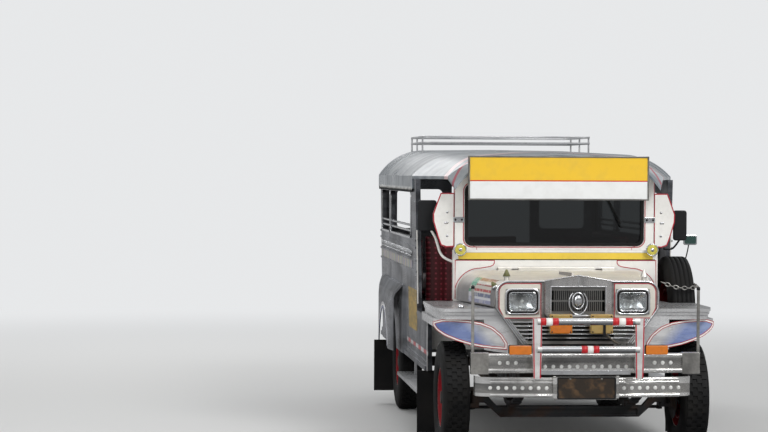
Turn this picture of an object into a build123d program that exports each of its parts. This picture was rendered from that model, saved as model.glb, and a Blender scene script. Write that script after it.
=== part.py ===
from build123d import *
import os
from math import asin, cos, degrees, radians, sin, sqrt

# A jeepney: long open-sided passenger body on a truck frame, with a stainless nose and bumpers.
# Millimetres. +X is the vehicle's left, +Y the rear, +Z up from the ground.
# A station is a distance behind the front face of the lamp panel.

os.makedirs("parts", exist_ok=True)

# Datums
nose_y = -2260
drip_height = 1875
body_half_width = 955
wheelbase = 3200
front_axle_station = 335
rear_axle_station = front_axle_station + wheelbase
front_axle_y = nose_y + front_axle_station
rear_axle_y = nose_y + rear_axle_station

# Fits between pieces
running_gap = 0.05
seat_gap = 0.3
moving_gap = 6

# Wheels
tyre_radius = 385
tyre_width = 190
sidewall_tuck = 6
sidewall_rise = 16
tread_shoulder = 12
tread_shoulder_drop = 20
tread_edge = 34
tread_edge_drop = 3
bead_radius = 203
rim_flange_radius = 221
rim_wall = 6
rim_half_width = 74
hub_radius = 55
hub_half_length = 52
drum_radius = 150
drum_depth = 62
disc_offset = 18
disc_thickness = 8
spindle_radius = 24
front_track_half = 815
rear_track_half = 830

# Front axle and steering
kingpin_x = 655
kingpin_radius = 15
eye_radius = 30
eye_height = 84
lug_height = 26
beam_height = 72
beam_width = 56
beam_drop = 100
beam_neck_inner = 500
beam_neck_outer = 590
backing_x = 716
backing_thickness = 5
steering_arm_length = 150
steering_arm_thickness = 18
tie_pin_radius = 9
tie_rod_radius = 14

# Frame and running gear
rail_half_spacing = 400
rail_width = 60
rail_height = 120
rail_bottom = 490
rail_wall = 6
rail_rear_station = 4760
rail_overhang = 160
spring_leaf = 9
spring_width = 60
spring_leaves = 4
spring_half_length = 520
spring_pad = 8
front_spring_x = 400
rear_spring_x = 430
axle_tube_radius = 40
differential_radius = 135
differential_depth = 130
pinion_radius = 52
pinion_depth = 120
gearbox_bottom = 455
gearbox_half_width = 130
gearbox_top = 632
gearbox_rear_station = 1420
engine_front_station = 190
engine_rear_station = 860
engine_half_width = 210
engine_bottom = 522
engine_top = 1060
shaft_radius = 35
shaft_joint_radius = 48
shaft_joint_length = 36
exhaust_x = -300
exhaust_z = 392
exhaust_over_axle = 462
exhaust_radius = 25
muffler_radius = 70
muffler_length = 560
exhaust_hanger_front = 1700
exhaust_hanger_rear = 4350
exhaust_climb_start = 480
exhaust_climb_end = 200
exhaust_tail = 120
exhaust_bend = 60
muffler_station = rear_axle_station - 1135
tank_outer = 790
tank_station = 2550
tank_length = 560
tank_bottom = 430
tank_height = 190
tank_corner = 32

# Bumpers and what they carry
bumper_front_station = -338
bumper_depth = 42
bumper_sheet = 4
rail_front_station = bumper_front_station + bumper_depth + seat_gap
upper_bumper_half = 757
upper_bumper_bottom = 604
upper_bumper_top = 734
lower_bumper_half = 720
lower_bumper_setback = 8
lower_bumper_bow = 55
lower_bumper_turn = 90
lower_bumper_return = 170
lower_bumper_bottom = 448
lower_bumper_top = 577
centre_plate_half = 300
centre_plate_bottom = 593
centre_plate_top = 677
centre_plate_proud = 14
end_cap_width = 112
end_cap_proud = 14
end_cap_overhang = 6
push_post_x = 339
push_post_width = 59
push_post_foot = 46
push_post_depth = 22
push_post_station = -468
push_post_bottom = 576
push_post_top = 972
push_bar_radius = 23
push_bar_lower = 768
push_bar_upper = 951
push_stay_width = 24
push_stay_height = 60
push_stay_sheet = 6
push_stay_margin = 12
signal_inner_x = 377
signal_outer_x = 525
signal_height = 64
signal_depth = 46
signal_stay_inset = 30
signal_lens_margin = 12
signal_lens_rise = 14
signal_lens_depth = 10
post_waist_drop = 8
plate_half_width = 208
plate_bottom = 430
plate_height = 152
plate_thickness = 15
plate_bolt_spacing = 210
plate_bolt_radius = 3.5
plate_bolt_drop = 16
bumper_bracket_rise = 20
bumper_bracket_height = 90

# Nose
nose_half_width = 553
nose_top = 1197
nose_shoulder = 1013
nose_bottom = 772
nose_bottom_half = 373
nose_corner = 85
nose_sheet = 5
nose_return = 34
lamp_x = 375
lamp_z = 1058
lamp_width = 200
lamp_height = 142
lamp_corner = 22
lamp_depth = 90
lamp_proud = 10
lamp_lip = 14
fog_inner_x = 61
fog_width = 153
fog_height = 133
fog_bottom = 846
fog_front_station = -108
fog_shell_depth = 44
fog_back_radius = 54
fog_neck_radius = 30
fog_neck_length = 24
fog_stalk_radius = 15
round_fog_x = 689
round_fog_z = 1377
round_fog_radius = 46
round_fog_depth = 42
louvre_bottom = 780
louvre_count = 5
louvre_pitch = 27
louvre_height = 11
louvre_margin = 40
grille_half_width = 233
grille_bottom = 946
grille_shoulder = 1201
grille_apex = 1239
grille_proud = 33
grille_taper = 14
grille_opening_half = 183
grille_opening_bottom = 970
grille_opening_top = 1157
slat_count = 25
slat_width = 5
slat_depth = 16
slat_frame = 24
slat_margin = 16
slat_rail = 10
boss_radius = 34
boss_depth = 10
radiator_station = 70
radiator_depth = 60
radiator_half_width = 260
radiator_height = 560
radiator_foot_height = 40

# Hood, cowl and fenders
hood_sheet = 5
hood_front_station = nose_return + moving_gap
hood_rear_station = 962
hood_front_half = nose_half_width
hood_rear_half = 714
hood_front_top = 1196
hood_rear_top = 1232
hood_bottom = 1018
hood_front_corner = 85
hood_rear_corner = 170
hinge_radius = 9
hinge_lift = 14
strap_reach = 36
strap_foot = 12
cone_radius = 25
cone_tip_radius = 5
cone_length = 47
cone_foot_radius = 17
cone_foot_height = 27
cone_x = 470
cone_station = 100
hood_bar_station = 500
hood_bar_length = 210
hood_bar_width = 16
hood_bar_height = 22
hood_bar_turn = 16
ledge_top = 1010
ledge_sheet = 5
ledge_roll = 22
ledge_roll_setback = 7
ledge_face_bottom = 936
ledge_corner_x = 900
ledge_outer = 950
ledge_corner_length = 180
apron_station = 10
splash_panel_x = 562
splash_panel_bottom = 720
fender_outer = 958
wing_inner_x = 440
wing_inner_bottom = 711
wing_tip_station = 150
wing_tip_bottom = 880
wing_belly_x = 717
wing_belly_bottom = 758
cowl_station = 986
cowl_half_width = 735
cowl_depth = 84
cowl_sheet = 20
cowl_top = 1372
cowl_bottom = 1018
dash_depth = 180
dash_drop = 210
dash_roll = 20

# Windshield
screen_station = 1062
screen_depth = 40
screen_half_width = 725
screen_bottom = 1372
screen_top = drip_height - 7
glass_half_width = 636
glass_bottom = 1412
glass_top = screen_top - 36
glass_thickness = 6
glass_corner = 40
mirror_depth = 28
mirror_station = 1132
mirror_tube_radius = 9
mirror_corner = 18
mirror_foot_size = 50
mirror_foot_sheet = 6
header_depth = 40
ear_inner_x = screen_half_width - 5
ear_bottom = 1390
ear_top = screen_top - 90
ear_sheet = 16

# Passenger body
floor_top = 665
floor_thickness = 22
crossbeam_width = 60
crossbeam_stations = (1500, 2200, 2900, 4200, 4650)
sill_half_width = body_half_width - 25
sill_bottom = 524
sill_front_station = 863
door_sill_top = 910
sill_step_height = 32
sill_step_depth = 9
belt_rib_height = 16
belt_rib_depth = 8
wall = 36
pillar_station = 1550
window_front_station = 1960
window_post_station = 3740
window_post = 90
window_rear_station = 4610
window_bottom = 1440
window_top = drip_height - 100
window_corner = 40
body_rear_station = 4770
rear_arch_radius = 450
flare_outer = body_half_width + 75
flare_top = 1050
flare_shoulder = 880
flare_front_station = 2440
flare_rear_station = 4560
flare_round_length = 760
flare_sheet = 8
flare_slope_inset = 22
flare_slope_height = 100
flare_lip_inset = 62
tail_lamp_x = 760
tail_lamp_bottom = 960
tail_lamp_width = 110
tail_lamp_height = 190
tail_lamp_depth = 34
rear_window_margin = 80
entry_half_width = 340
entry_top = drip_height - 75
bench_inner_x = body_half_width - 395
bench_top = 985
bench_board = 18
wheel_box_inner = body_half_width - 255
wheel_box_half = 440
wheel_box_top = 820
cushion_height = 90
back_bottom = 1110
back_top = 1420
back_thickness = 60
bench_front_station = 1900
bench_rear_station = 4640
seat_base_top = 880
seat_base_inset = 40
seat_cushion_height = 110
seat_front_station = 1230
seat_back_station = 1640
seat_back_thickness = 100
seat_back_top = 1455

# Roof
roof_half_width = body_half_width + 13
roof_front_half = 735
roof_visor_half = 775
roof_front_station = 895
roof_visor_station = 1010
roof_full_station = 1700
roof_rear_station = 4806
roof_sheet = 22
shoulder_inset = 352
haunch_inset = 159
haunch_share = 0.72
visor_droop = 75
roof_front_crown = drip_height + 155
roof_visor_crown = drip_height + 159
roof_mid_crown = drip_height + 183
roof_rear_crown = drip_height + 221
roof_front_drop = 25
roof_visor_drop = 24
roof_mid_drop = 18
roof_rear_drop = 8
valance_height = 78
valance_depth = 16
sign_half_width = 645
sign_bottom = drip_height - 145
sign_top = drip_height + 168
sign_station = 858
sign_thickness = 24
sign_stay_inset = 60
sign_stay_width = 40
sign_stay_sheet = 12
rack_half_width = roof_half_width - 278
rack_front_station = 3700
rack_rear_station = 4780
rack_lower = roof_rear_crown + 69
rack_upper = rack_lower + 50
rack_tube = 8
rack_post = 7
rack_corner = 57
rack_post_inset = 70

# Spare wheel, upright in the left doorway
spare_x = body_half_width - 72
spare_station = 1135
spare_well_half = 112
spare_tray_top = 555

# Steps and flaps
side_step_outer = body_half_width + 45
side_step_inner = side_step_outer - 128
side_step_front_station = 900
side_step_rear_station = 2500
side_step_top = 385
side_step_thickness = 25
rear_step_rear_station = 5000
rear_step_half = 700
rear_step_top = 455
rear_step_height = 50
flap_thickness = 8
flap_width = 220
front_flap_inner = side_step_outer - flap_width
front_flap_bottom = 85
rear_flap_inner = flare_outer - 180
rear_flap_bottom = 100
front_flap_station = 890
rear_flap_station = 4060


def save(part, label):
    part.label = label
    export_step(part, f"parts/{label}.step")


def station(distance):
    return nose_y + distance


roof_rows = (
    # station, half width, drip Z, crown Z, shoulder's drop below the crown
    (roof_front_station, roof_front_half, drip_height - visor_droop, roof_front_crown, roof_front_drop),
    (roof_visor_station, roof_visor_half, drip_height, roof_visor_crown, roof_visor_drop),
    (roof_full_station, roof_half_width, drip_height, roof_mid_crown, roof_mid_drop),
    (roof_rear_station, roof_half_width, drip_height, roof_rear_crown, roof_rear_drop),
)


# The roof's curve from drip to drip at one row, raised by a lift: a flat crown and rounded haunches.
def roof_curve(row, lift):
    place, half, drip, crown, drop = row
    shoulder_z = crown - drop + lift
    haunch_z = drip + haunch_share * (crown - drop - drip) + lift
    with BuildLine() as curve:
        for side in (1, -1):
            Line((0, crown + lift), (side * (half - shoulder_inset), shoulder_z))
            ThreePointArc(
                (side * (half - shoulder_inset), shoulder_z),
                (side * (half - haunch_inset), haunch_z),
                (side * half, drip + lift),
            )
    return curve.line


# Everything between the frame and the roof's curve, which trims what meets the roof.
def roof_space(lift):
    with BuildPart() as space:
        for row in roof_rows:
            place, half, drip = row[:3]
            with BuildSketch(Plane.XZ.offset(-station(place))):
                with BuildLine():
                    add(roof_curve(row, lift))
                    Polyline((-half, drip + lift), (-half, rail_bottom), (half, rail_bottom), (half, drip + lift))
                make_face()
        loft(ruled=True)
    return space.part


# Axle plane on one side: local X runs outwards, so one profile serves left and right.
def wheel_plane(centre_x, axle_y, centre_z, side):
    return Plane(
        origin=(side * centre_x, axle_y, centre_z),
        x_dir=(side, 0, 0),
        z_dir=(0, -side, 0),
    )


wheels = {
    # name: (side, distance from the centre line, axle Y, axle Z)
    "front_left": (1, front_track_half, front_axle_y, tyre_radius),
    "front_right": (-1, front_track_half, front_axle_y, tyre_radius),
    "rear_left": (1, rear_track_half, rear_axle_y, tyre_radius),
    "rear_right": (-1, rear_track_half, rear_axle_y, tyre_radius),
    "spare": (1, spare_x, nose_y + spare_station, spare_tray_top + seat_gap + tyre_radius),
}


def tyre_section():
    half = tyre_width / 2
    bead_half = rim_half_width - rim_wall - seat_gap
    with BuildLine() as outline:
        Polyline(
            (-bead_half, bead_radius),
            (-bead_half, rim_flange_radius + seat_gap),
            (-half + sidewall_tuck, rim_flange_radius + sidewall_rise),
            (-half, (bead_radius + tyre_radius) / 2),
            (-half + tread_shoulder, tyre_radius - tread_shoulder_drop),
            (-half + tread_edge, tyre_radius - tread_edge_drop),
            (0, tyre_radius),
            (half - tread_edge, tyre_radius - tread_edge_drop),
            (half - tread_shoulder, tyre_radius - tread_shoulder_drop),
            (half, (bead_radius + tyre_radius) / 2),
            (half - sidewall_tuck, rim_flange_radius + sidewall_rise),
            (bead_half, rim_flange_radius + seat_gap),
            (bead_half, bead_radius),
            close=True,
        )
    return outline


for name, (side, centre_x, axle_y, centre_z) in wheels.items():
    with BuildPart() as tyre:
        with BuildSketch(wheel_plane(centre_x, axle_y, centre_z, side)):
            with BuildLine():
                add(tyre_section().line)
            make_face()
        revolve(axis=Axis((0, axle_y, centre_z), (1, 0, 0)))
    save(tyre.part, f"tyre_{name}")

    with BuildPart() as rim:
        with BuildSketch(wheel_plane(centre_x, axle_y, centre_z, side)):
            inner = bead_radius - seat_gap - rim_wall
            outer = bead_radius - seat_gap
            with Locations((0, (inner + outer) / 2)):
                Rectangle(2 * rim_half_width, rim_wall)
            with Locations((rim_half_width - rim_wall / 2, inner), (-rim_half_width + rim_wall / 2, inner)):
                Rectangle(rim_wall, rim_flange_radius - inner, align=(Align.CENTER, Align.MIN))
            with Locations((disc_offset, hub_radius / 2)):
                Rectangle(disc_thickness, inner - hub_radius / 2 + 2, align=(Align.CENTER, Align.MIN))
            with Locations((-hub_half_length, spindle_radius + running_gap)):
                Rectangle(2 * hub_half_length, hub_radius - spindle_radius - running_gap, align=Align.MIN)
            with Locations((hub_half_length, 0)):
                Rectangle(22, hub_radius - 12, align=Align.MIN)
            with Locations((disc_offset, drum_radius)):
                Rectangle(drum_depth + disc_offset, 10, align=Align.MAX)
        revolve(axis=Axis((0, axle_y, centre_z), (1, 0, 0)))
    save(rim.part, f"rim_{name}")


# Each knuckle swings on a kingpin and carries a spindle, a backing plate and a steering arm.
for name, side in {"left": 1, "right": -1}.items():
    pin_x = side * kingpin_x
    hub_end = side * (front_track_half + hub_half_length - 8)
    web_inner = eye_radius + 10
    lug_offset = eye_height / 2 + seat_gap
    with BuildPart() as knuckle:
        with BuildSketch(Plane.XY.offset(tyre_radius - lug_offset - lug_height)):
            with Locations((pin_x, front_axle_y)):
                Circle(eye_radius)
            with Locations((pin_x + side * web_inner, front_axle_y)):
                Rectangle(2 * web_inner, 2 * eye_radius)
        extrude(amount=lug_height)
        with BuildSketch(Plane.XY.offset(tyre_radius + lug_offset)):
            with Locations((pin_x, front_axle_y)):
                Circle(eye_radius)
            with Locations((pin_x + side * web_inner, front_axle_y)):
                Rectangle(2 * web_inner, 2 * eye_radius)
        extrude(amount=lug_height)
        with Locations((pin_x, front_axle_y, tyre_radius)):
            Cylinder(kingpin_radius, eye_height + 2 * lug_height)
        web_length = backing_x - kingpin_x - web_inner
        with Locations((side * (backing_x - web_length / 2), front_axle_y, tyre_radius)):
            Box(web_length, 2 * eye_radius, eye_height + 2 * lug_height)
        with BuildSketch(Plane.YZ.offset(side * backing_x)):
            with Locations((front_axle_y, tyre_radius)):
                Circle(drum_radius)
        extrude(amount=side * backing_thickness)
        with BuildSketch(Plane.YZ.offset(side * backing_x)):
            with Locations((front_axle_y, tyre_radius)):
                Circle(spindle_radius)
        extrude(amount=hub_end - side * backing_x)
        arm_y = front_axle_y + steering_arm_length
        arm_z = tyre_radius - lug_offset - lug_height
        with BuildSketch(Plane.XY.offset(arm_z)):
            with Locations((pin_x, (front_axle_y + arm_y) / 2)):
                SlotCenterToCenter(steering_arm_length, 2 * tie_rod_radius + 8, rotation=90)
        extrude(amount=steering_arm_thickness)
        with Locations((pin_x, arm_y, arm_z - tie_rod_radius)):
            Cylinder(tie_pin_radius, 2 * tie_rod_radius + 6)
    save(knuckle.part, f"knuckle_{name}")

# The tie rod hangs below the two steering arms on their pins.
tie_rod_z = tyre_radius - eye_height / 2 - seat_gap - lug_height - tie_rod_radius - seat_gap
tie_rod_y = front_axle_y + steering_arm_length
with BuildPart() as tie_rod:
    with Locations((0, tie_rod_y, tie_rod_z)):
        Cylinder(tie_rod_radius * 0.8, 2 * kingpin_x, rotation=(0, 90, 0))
    for side in (1, -1):
        with Locations((side * kingpin_x, tie_rod_y, tie_rod_z)):
            Cylinder(tie_rod_radius + 6, 2 * tie_rod_radius)
            Cylinder(tie_pin_radius + running_gap, 2 * tie_rod_radius, mode=Mode.SUBTRACT)
save(tie_rod.part, "tie_rod")

# The front axle is a dropped I-beam: high at the kingpins, low under the engine.
beam_low_z = tyre_radius - beam_drop
with BuildPart() as front_axle:
    with BuildSketch(Plane.XZ.offset(-front_axle_y)):
        with BuildLine():
            Polyline(
                (-kingpin_x, tyre_radius + beam_height / 2),
                (-beam_neck_outer, tyre_radius + beam_height / 2),
                (-beam_neck_inner, beam_low_z + beam_height / 2),
                (beam_neck_inner, beam_low_z + beam_height / 2),
                (beam_neck_outer, tyre_radius + beam_height / 2),
                (kingpin_x, tyre_radius + beam_height / 2),
                (kingpin_x, tyre_radius - beam_height / 2),
                (beam_neck_outer, tyre_radius - beam_height / 2),
                (beam_neck_inner - 20, beam_low_z - beam_height / 2),
                (-beam_neck_inner + 20, beam_low_z - beam_height / 2),
                (-beam_neck_outer, tyre_radius - beam_height / 2),
                (-kingpin_x, tyre_radius - beam_height / 2),
                close=True,
            )
        make_face()
    extrude(amount=beam_width / 2, both=True)
    # Web recess on both faces of the low run
    for side in (1, -1):
        with Locations((0, front_axle_y + side * beam_width / 2, beam_low_z)):
            Box(2 * beam_neck_inner - 60, beam_width / 2, beam_height - 28, mode=Mode.SUBTRACT)
    for side in (1, -1):
        with Locations((side * kingpin_x, front_axle_y, tyre_radius)):
            Cylinder(eye_radius, eye_height)
            Cylinder(kingpin_radius + running_gap, eye_height, mode=Mode.SUBTRACT)
save(front_axle.part, "front_axle")

with BuildPart() as rear_axle:
    with Locations((0, rear_axle_y, tyre_radius)):
        Cylinder(axle_tube_radius, 2 * (rear_track_half - 92), rotation=(0, 90, 0))
        Cylinder(spindle_radius, 2 * (rear_track_half + hub_half_length - 8), rotation=(0, 90, 0))
        Cylinder(differential_radius, differential_depth, rotation=(90, 0, 0))
        Sphere(differential_radius)
    with Locations((0, rear_axle_y - differential_radius, tyre_radius)):
        Cylinder(pinion_radius, pinion_depth, rotation=(90, 0, 0))
    for side in (1, -1):
        with Locations((side * (rear_track_half - 94), rear_axle_y, tyre_radius)):
            Cylinder(drum_radius, backing_thickness, rotation=(0, 90, 0))
save(rear_axle.part, "rear_axle")

# Semi-elliptic springs: leaves get shorter towards the axle, the main leaf ends in eyes.
springs = (
    # x, axle Y, seat Z on the axle
    (front_spring_x, front_axle_y, tyre_radius - beam_drop + beam_height / 2 + seat_gap),
    (rear_spring_x, rear_axle_y, tyre_radius + axle_tube_radius + seat_gap),
)
spring_eye_radius = 15
spring_eye_z = rail_bottom - spring_eye_radius - seat_gap
with BuildPart() as leaf_springs:
    for spring_x, axle_y, seat_z in springs:
        pack_height = spring_leaves * spring_leaf
        for side in (1, -1):
            with BuildSketch(Plane.YZ.offset(side * spring_x)):
                for leaf in range(spring_leaves):
                    top_z = seat_z + spring_pad + pack_height - leaf * spring_leaf
                    rise = spring_eye_z + spring_leaf / 2 - seat_z - spring_pad - pack_height
                    reach = spring_half_length * (1 - 0.22 * leaf)
                    end_z = top_z + rise * (reach / spring_half_length) ** 2
                    with BuildLine():
                        ThreePointArc((axle_y - reach, end_z), (axle_y, top_z), (axle_y + reach, end_z))
                        Line((axle_y + reach, end_z), (axle_y + reach, end_z - spring_leaf))
                        ThreePointArc(
                            (axle_y + reach, end_z - spring_leaf),
                            (axle_y, top_z - spring_leaf - 0.1),
                            (axle_y - reach, end_z - spring_leaf),
                        )
                        Line((axle_y - reach, end_z - spring_leaf), (axle_y - reach, end_z))
                    make_face()
                with Locations((axle_y, seat_z)):
                    Rectangle(110, spring_pad + 6, align=(Align.CENTER, Align.MIN))
                with Locations((axle_y - spring_half_length, spring_eye_z), (axle_y + spring_half_length, spring_eye_z)):
                    Circle(spring_eye_radius)
            extrude(amount=spring_width / 2, both=True)
save(leaf_springs.part, "leaf_springs")

# Pressed channel rails with cross-members between them and hangers for the springs.
crossmembers = (
    # station, bottom Z, height
    (-240, rail_bottom, rail_height),
    (engine_front_station + 60, rail_bottom + rail_wall, engine_bottom - rail_bottom - rail_wall),
    (gearbox_rear_station - 60, rail_bottom - 66, gearbox_bottom - rail_bottom + 66),
    (2050, rail_bottom + 35, 70),
    (2950, rail_bottom + 35, 70),
    (4100, rail_bottom + 35, 70),
    (rail_rear_station - 40, rail_bottom, rail_height),
)
rail_inner_span = 2 * (rail_half_spacing + rail_width / 2 - rail_wall)
with BuildPart() as chassis_frame:
    rail_length = rail_rear_station - rail_front_station
    rail_mid_y = station((rail_front_station + rail_rear_station) / 2)
    for side in (1, -1):
        with Locations((side * rail_half_spacing, rail_mid_y, rail_bottom + rail_height / 2)):
            Box(rail_width, rail_length, rail_height)
        with Locations((side * (rail_half_spacing - rail_wall), rail_mid_y, rail_bottom + rail_height / 2)):
            Box(rail_width, rail_length, rail_height - 2 * rail_wall, mode=Mode.SUBTRACT)
        for bottom_half in (spring_half_length, -spring_half_length):
            for spring_x, axle_y, seat_z in springs:
                with Locations((side * spring_x, axle_y + bottom_half, rail_bottom + 4)):
                    Box(spring_width, 40, 8)
    for place, bottom, height in crossmembers:
        with Locations((0, station(place), bottom)):
            Box(rail_inner_span, 60, height, align=(Align.CENTER, Align.CENTER, Align.MIN))
    for side in (1, -1):
        with Locations((side * rail_half_spacing, station(gearbox_rear_station - 60), rail_bottom - 66)):
            Box(rail_width, 60, 66, align=(Align.CENTER, Align.CENTER, Align.MIN))
        # Risers that carry the upper bumper
        with Locations((side * rail_half_spacing, station(rail_front_station + 35), rail_bottom + rail_height)):
            Box(rail_width, 70, upper_bumper_top - rail_bottom - rail_height - 20, align=(Align.CENTER, Align.CENTER, Align.MIN))
        with Locations((side * rail_half_spacing, station(rail_rear_station), rail_bottom)):
            Box(rail_width, rail_overhang, 60, align=(Align.CENTER, Align.MIN, Align.MIN))
save(chassis_frame.part, "chassis_frame")

with BuildPart() as engine:
    with BuildSketch(Plane.YZ):
        with BuildLine():
            Polyline(
                (station(engine_front_station), engine_bottom + seat_gap),
                (station(engine_rear_station), engine_bottom + seat_gap),
                (station(engine_rear_station), engine_top),
                (station(engine_front_station), engine_top),
                close=True,
            )
        make_face()
    extrude(amount=engine_half_width, both=True)
    with BuildSketch(Plane.YZ):
        with BuildLine():
            Polyline(
                (station(engine_rear_station - 20), gearbox_bottom + seat_gap),
                (station(gearbox_rear_station), gearbox_bottom + seat_gap),
                (station(gearbox_rear_station), gearbox_bottom + 130),
                (station(engine_rear_station + 240), gearbox_top),
                (station(engine_rear_station - 20), gearbox_top),
                close=True,
            )
        make_face()
    extrude(amount=gearbox_half_width, both=True)
save(engine.part, "engine")

shaft_front = (0, station(gearbox_rear_station) + seat_gap, gearbox_bottom + 65)
shaft_rear = (0, rear_axle_y - differential_radius - 60 - seat_gap, tyre_radius)
shaft_direction = Vector(*shaft_rear) - Vector(*shaft_front)
with BuildPart() as propeller_shaft:
    with BuildSketch(Plane(origin=shaft_front, z_dir=shaft_direction)):
        Circle(shaft_radius)
    extrude(amount=shaft_direction.length)
    for end in (shaft_front, shaft_rear):
        with Locations(end):
            Cylinder(shaft_joint_radius, shaft_joint_length, rotation=(90, 0, 0))
    with Locations((0, shaft_front[1] - 60, tyre_radius)):
        Box(400, 120, 400, mode=Mode.SUBTRACT)
    with Locations((0, shaft_rear[1] + 60, tyre_radius)):
        Box(400, 120, 400, mode=Mode.SUBTRACT)
save(propeller_shaft.part, "propeller_shaft")

# The exhaust drops beside the engine, runs low under the gearbox mount and climbs over the rear axle.
with BuildPart() as exhaust:
    with BuildLine() as run:
        Polyline(
            (exhaust_x, station(engine_rear_station - 40), exhaust_z + 190),
            (exhaust_x, station(engine_rear_station + 90), exhaust_z),
            (exhaust_x, station(rear_axle_station - exhaust_climb_start), exhaust_z),
            (exhaust_x, station(rear_axle_station - exhaust_climb_end), exhaust_over_axle),
            (exhaust_x, station(rail_rear_station + exhaust_tail), exhaust_over_axle),
        )
        fillet(run.vertices().group_by(Axis.Y)[1:-1], exhaust_bend)
    with BuildSketch(Plane(origin=run.line @ 0, z_dir=run.line % 0)):
        Circle(exhaust_radius)
    sweep()
    with Locations((exhaust_x, station(muffler_station), exhaust_z)):
        Cylinder(muffler_radius, muffler_length, rotation=(90, 0, 0))
    hanger_reach = rail_half_spacing + exhaust_x
    for place, height in ((exhaust_hanger_front, exhaust_z), (exhaust_hanger_rear, exhaust_over_axle)):
        with Locations((exhaust_x, station(place), height)):
            Box(hanger_reach + 12, 30, 16, align=(Align.MAX, Align.CENTER, Align.CENTER))
        with Locations((-rail_half_spacing, station(place), height - 8)):
            Box(24, 30, rail_bottom - seat_gap - height + 8, align=(Align.CENTER, Align.CENTER, Align.MIN))
save(exhaust.part, "exhaust")

with BuildPart() as fuel_tank:
    tank_inner = rail_half_spacing + rail_width / 2 + seat_gap
    with Locations(((tank_inner + tank_outer) / 2, station(tank_station), tank_bottom)):
        Box(tank_outer - tank_inner, tank_length, tank_height, align=(Align.CENTER, Align.CENTER, Align.MIN))
    fillet(fuel_tank.edges().filter_by(Axis.Y), tank_corner)
save(fuel_tank.part, "fuel_tank")


# Both bumpers are pressed channels, open to the rear, with half-round mouldings along the face.
def bumper_section(front, depth, bottom, top):
    with BuildLine() as outline:
        Polyline(
            (front + depth, bottom),
            (front, bottom),
            (front, top),
            (front + depth, top),
            (front + depth, top - bumper_sheet),
            (front + bumper_sheet, top - bumper_sheet),
            (front + bumper_sheet, bottom + bumper_sheet),
            (front + depth, bottom + bumper_sheet),
            close=True,
        )
    return outline


bumper_y = station(bumper_front_station)
upper_rolls = (
    # share of the bumper's height, radius
    (0.91, 10),
    (0.14, 12),
)
lower_rolls = (
    (0.90, 9),
    (0.74, 9),
    (0.06, 13),
)
with BuildPart() as upper_bumper:
    with BuildSketch(Plane.YZ):
        with BuildLine():
            add(bumper_section(bumper_y, bumper_depth, upper_bumper_bottom, upper_bumper_top).line)
        make_face()
    extrude(amount=upper_bumper_half, both=True)
    for share, radius in upper_rolls:
        with Locations((0, bumper_y, upper_bumper_bottom + share * (upper_bumper_top - upper_bumper_bottom))):
            Cylinder(radius, 2 * upper_bumper_half, rotation=(0, 90, 0))
    with Locations((0, bumper_y + bumper_sheet, centre_plate_bottom)):
        Box(2 * centre_plate_half, centre_plate_proud + bumper_sheet, centre_plate_top - centre_plate_bottom, align=(Align.CENTER, Align.MAX, Align.MIN))
    for side in (1, -1):
        cap_x = side * (upper_bumper_half - end_cap_width)
        cap_align = Align.MIN if side > 0 else Align.MAX
        cap_height = upper_bumper_top - upper_bumper_bottom + 2 * end_cap_overhang
        with Locations((cap_x, bumper_y - end_cap_proud, upper_bumper_bottom - end_cap_overhang)):
            Box(end_cap_width + end_cap_overhang, bumper_depth + end_cap_proud, cap_height, align=(cap_align, Align.MIN, Align.MIN))
save(upper_bumper.part, "upper_bumper")

# The lower bumper is bowed in plan, and its ends curl back round a quarter turn.
lower_bumper_y = bumper_y - lower_bumper_setback
lower_bow_radius = (lower_bumper_half**2 + lower_bumper_bow**2) / (2 * lower_bumper_bow)


def bowed_y(x):
    return lower_bumper_y + lower_bow_radius - sqrt(lower_bow_radius**2 - x**2)


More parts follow.
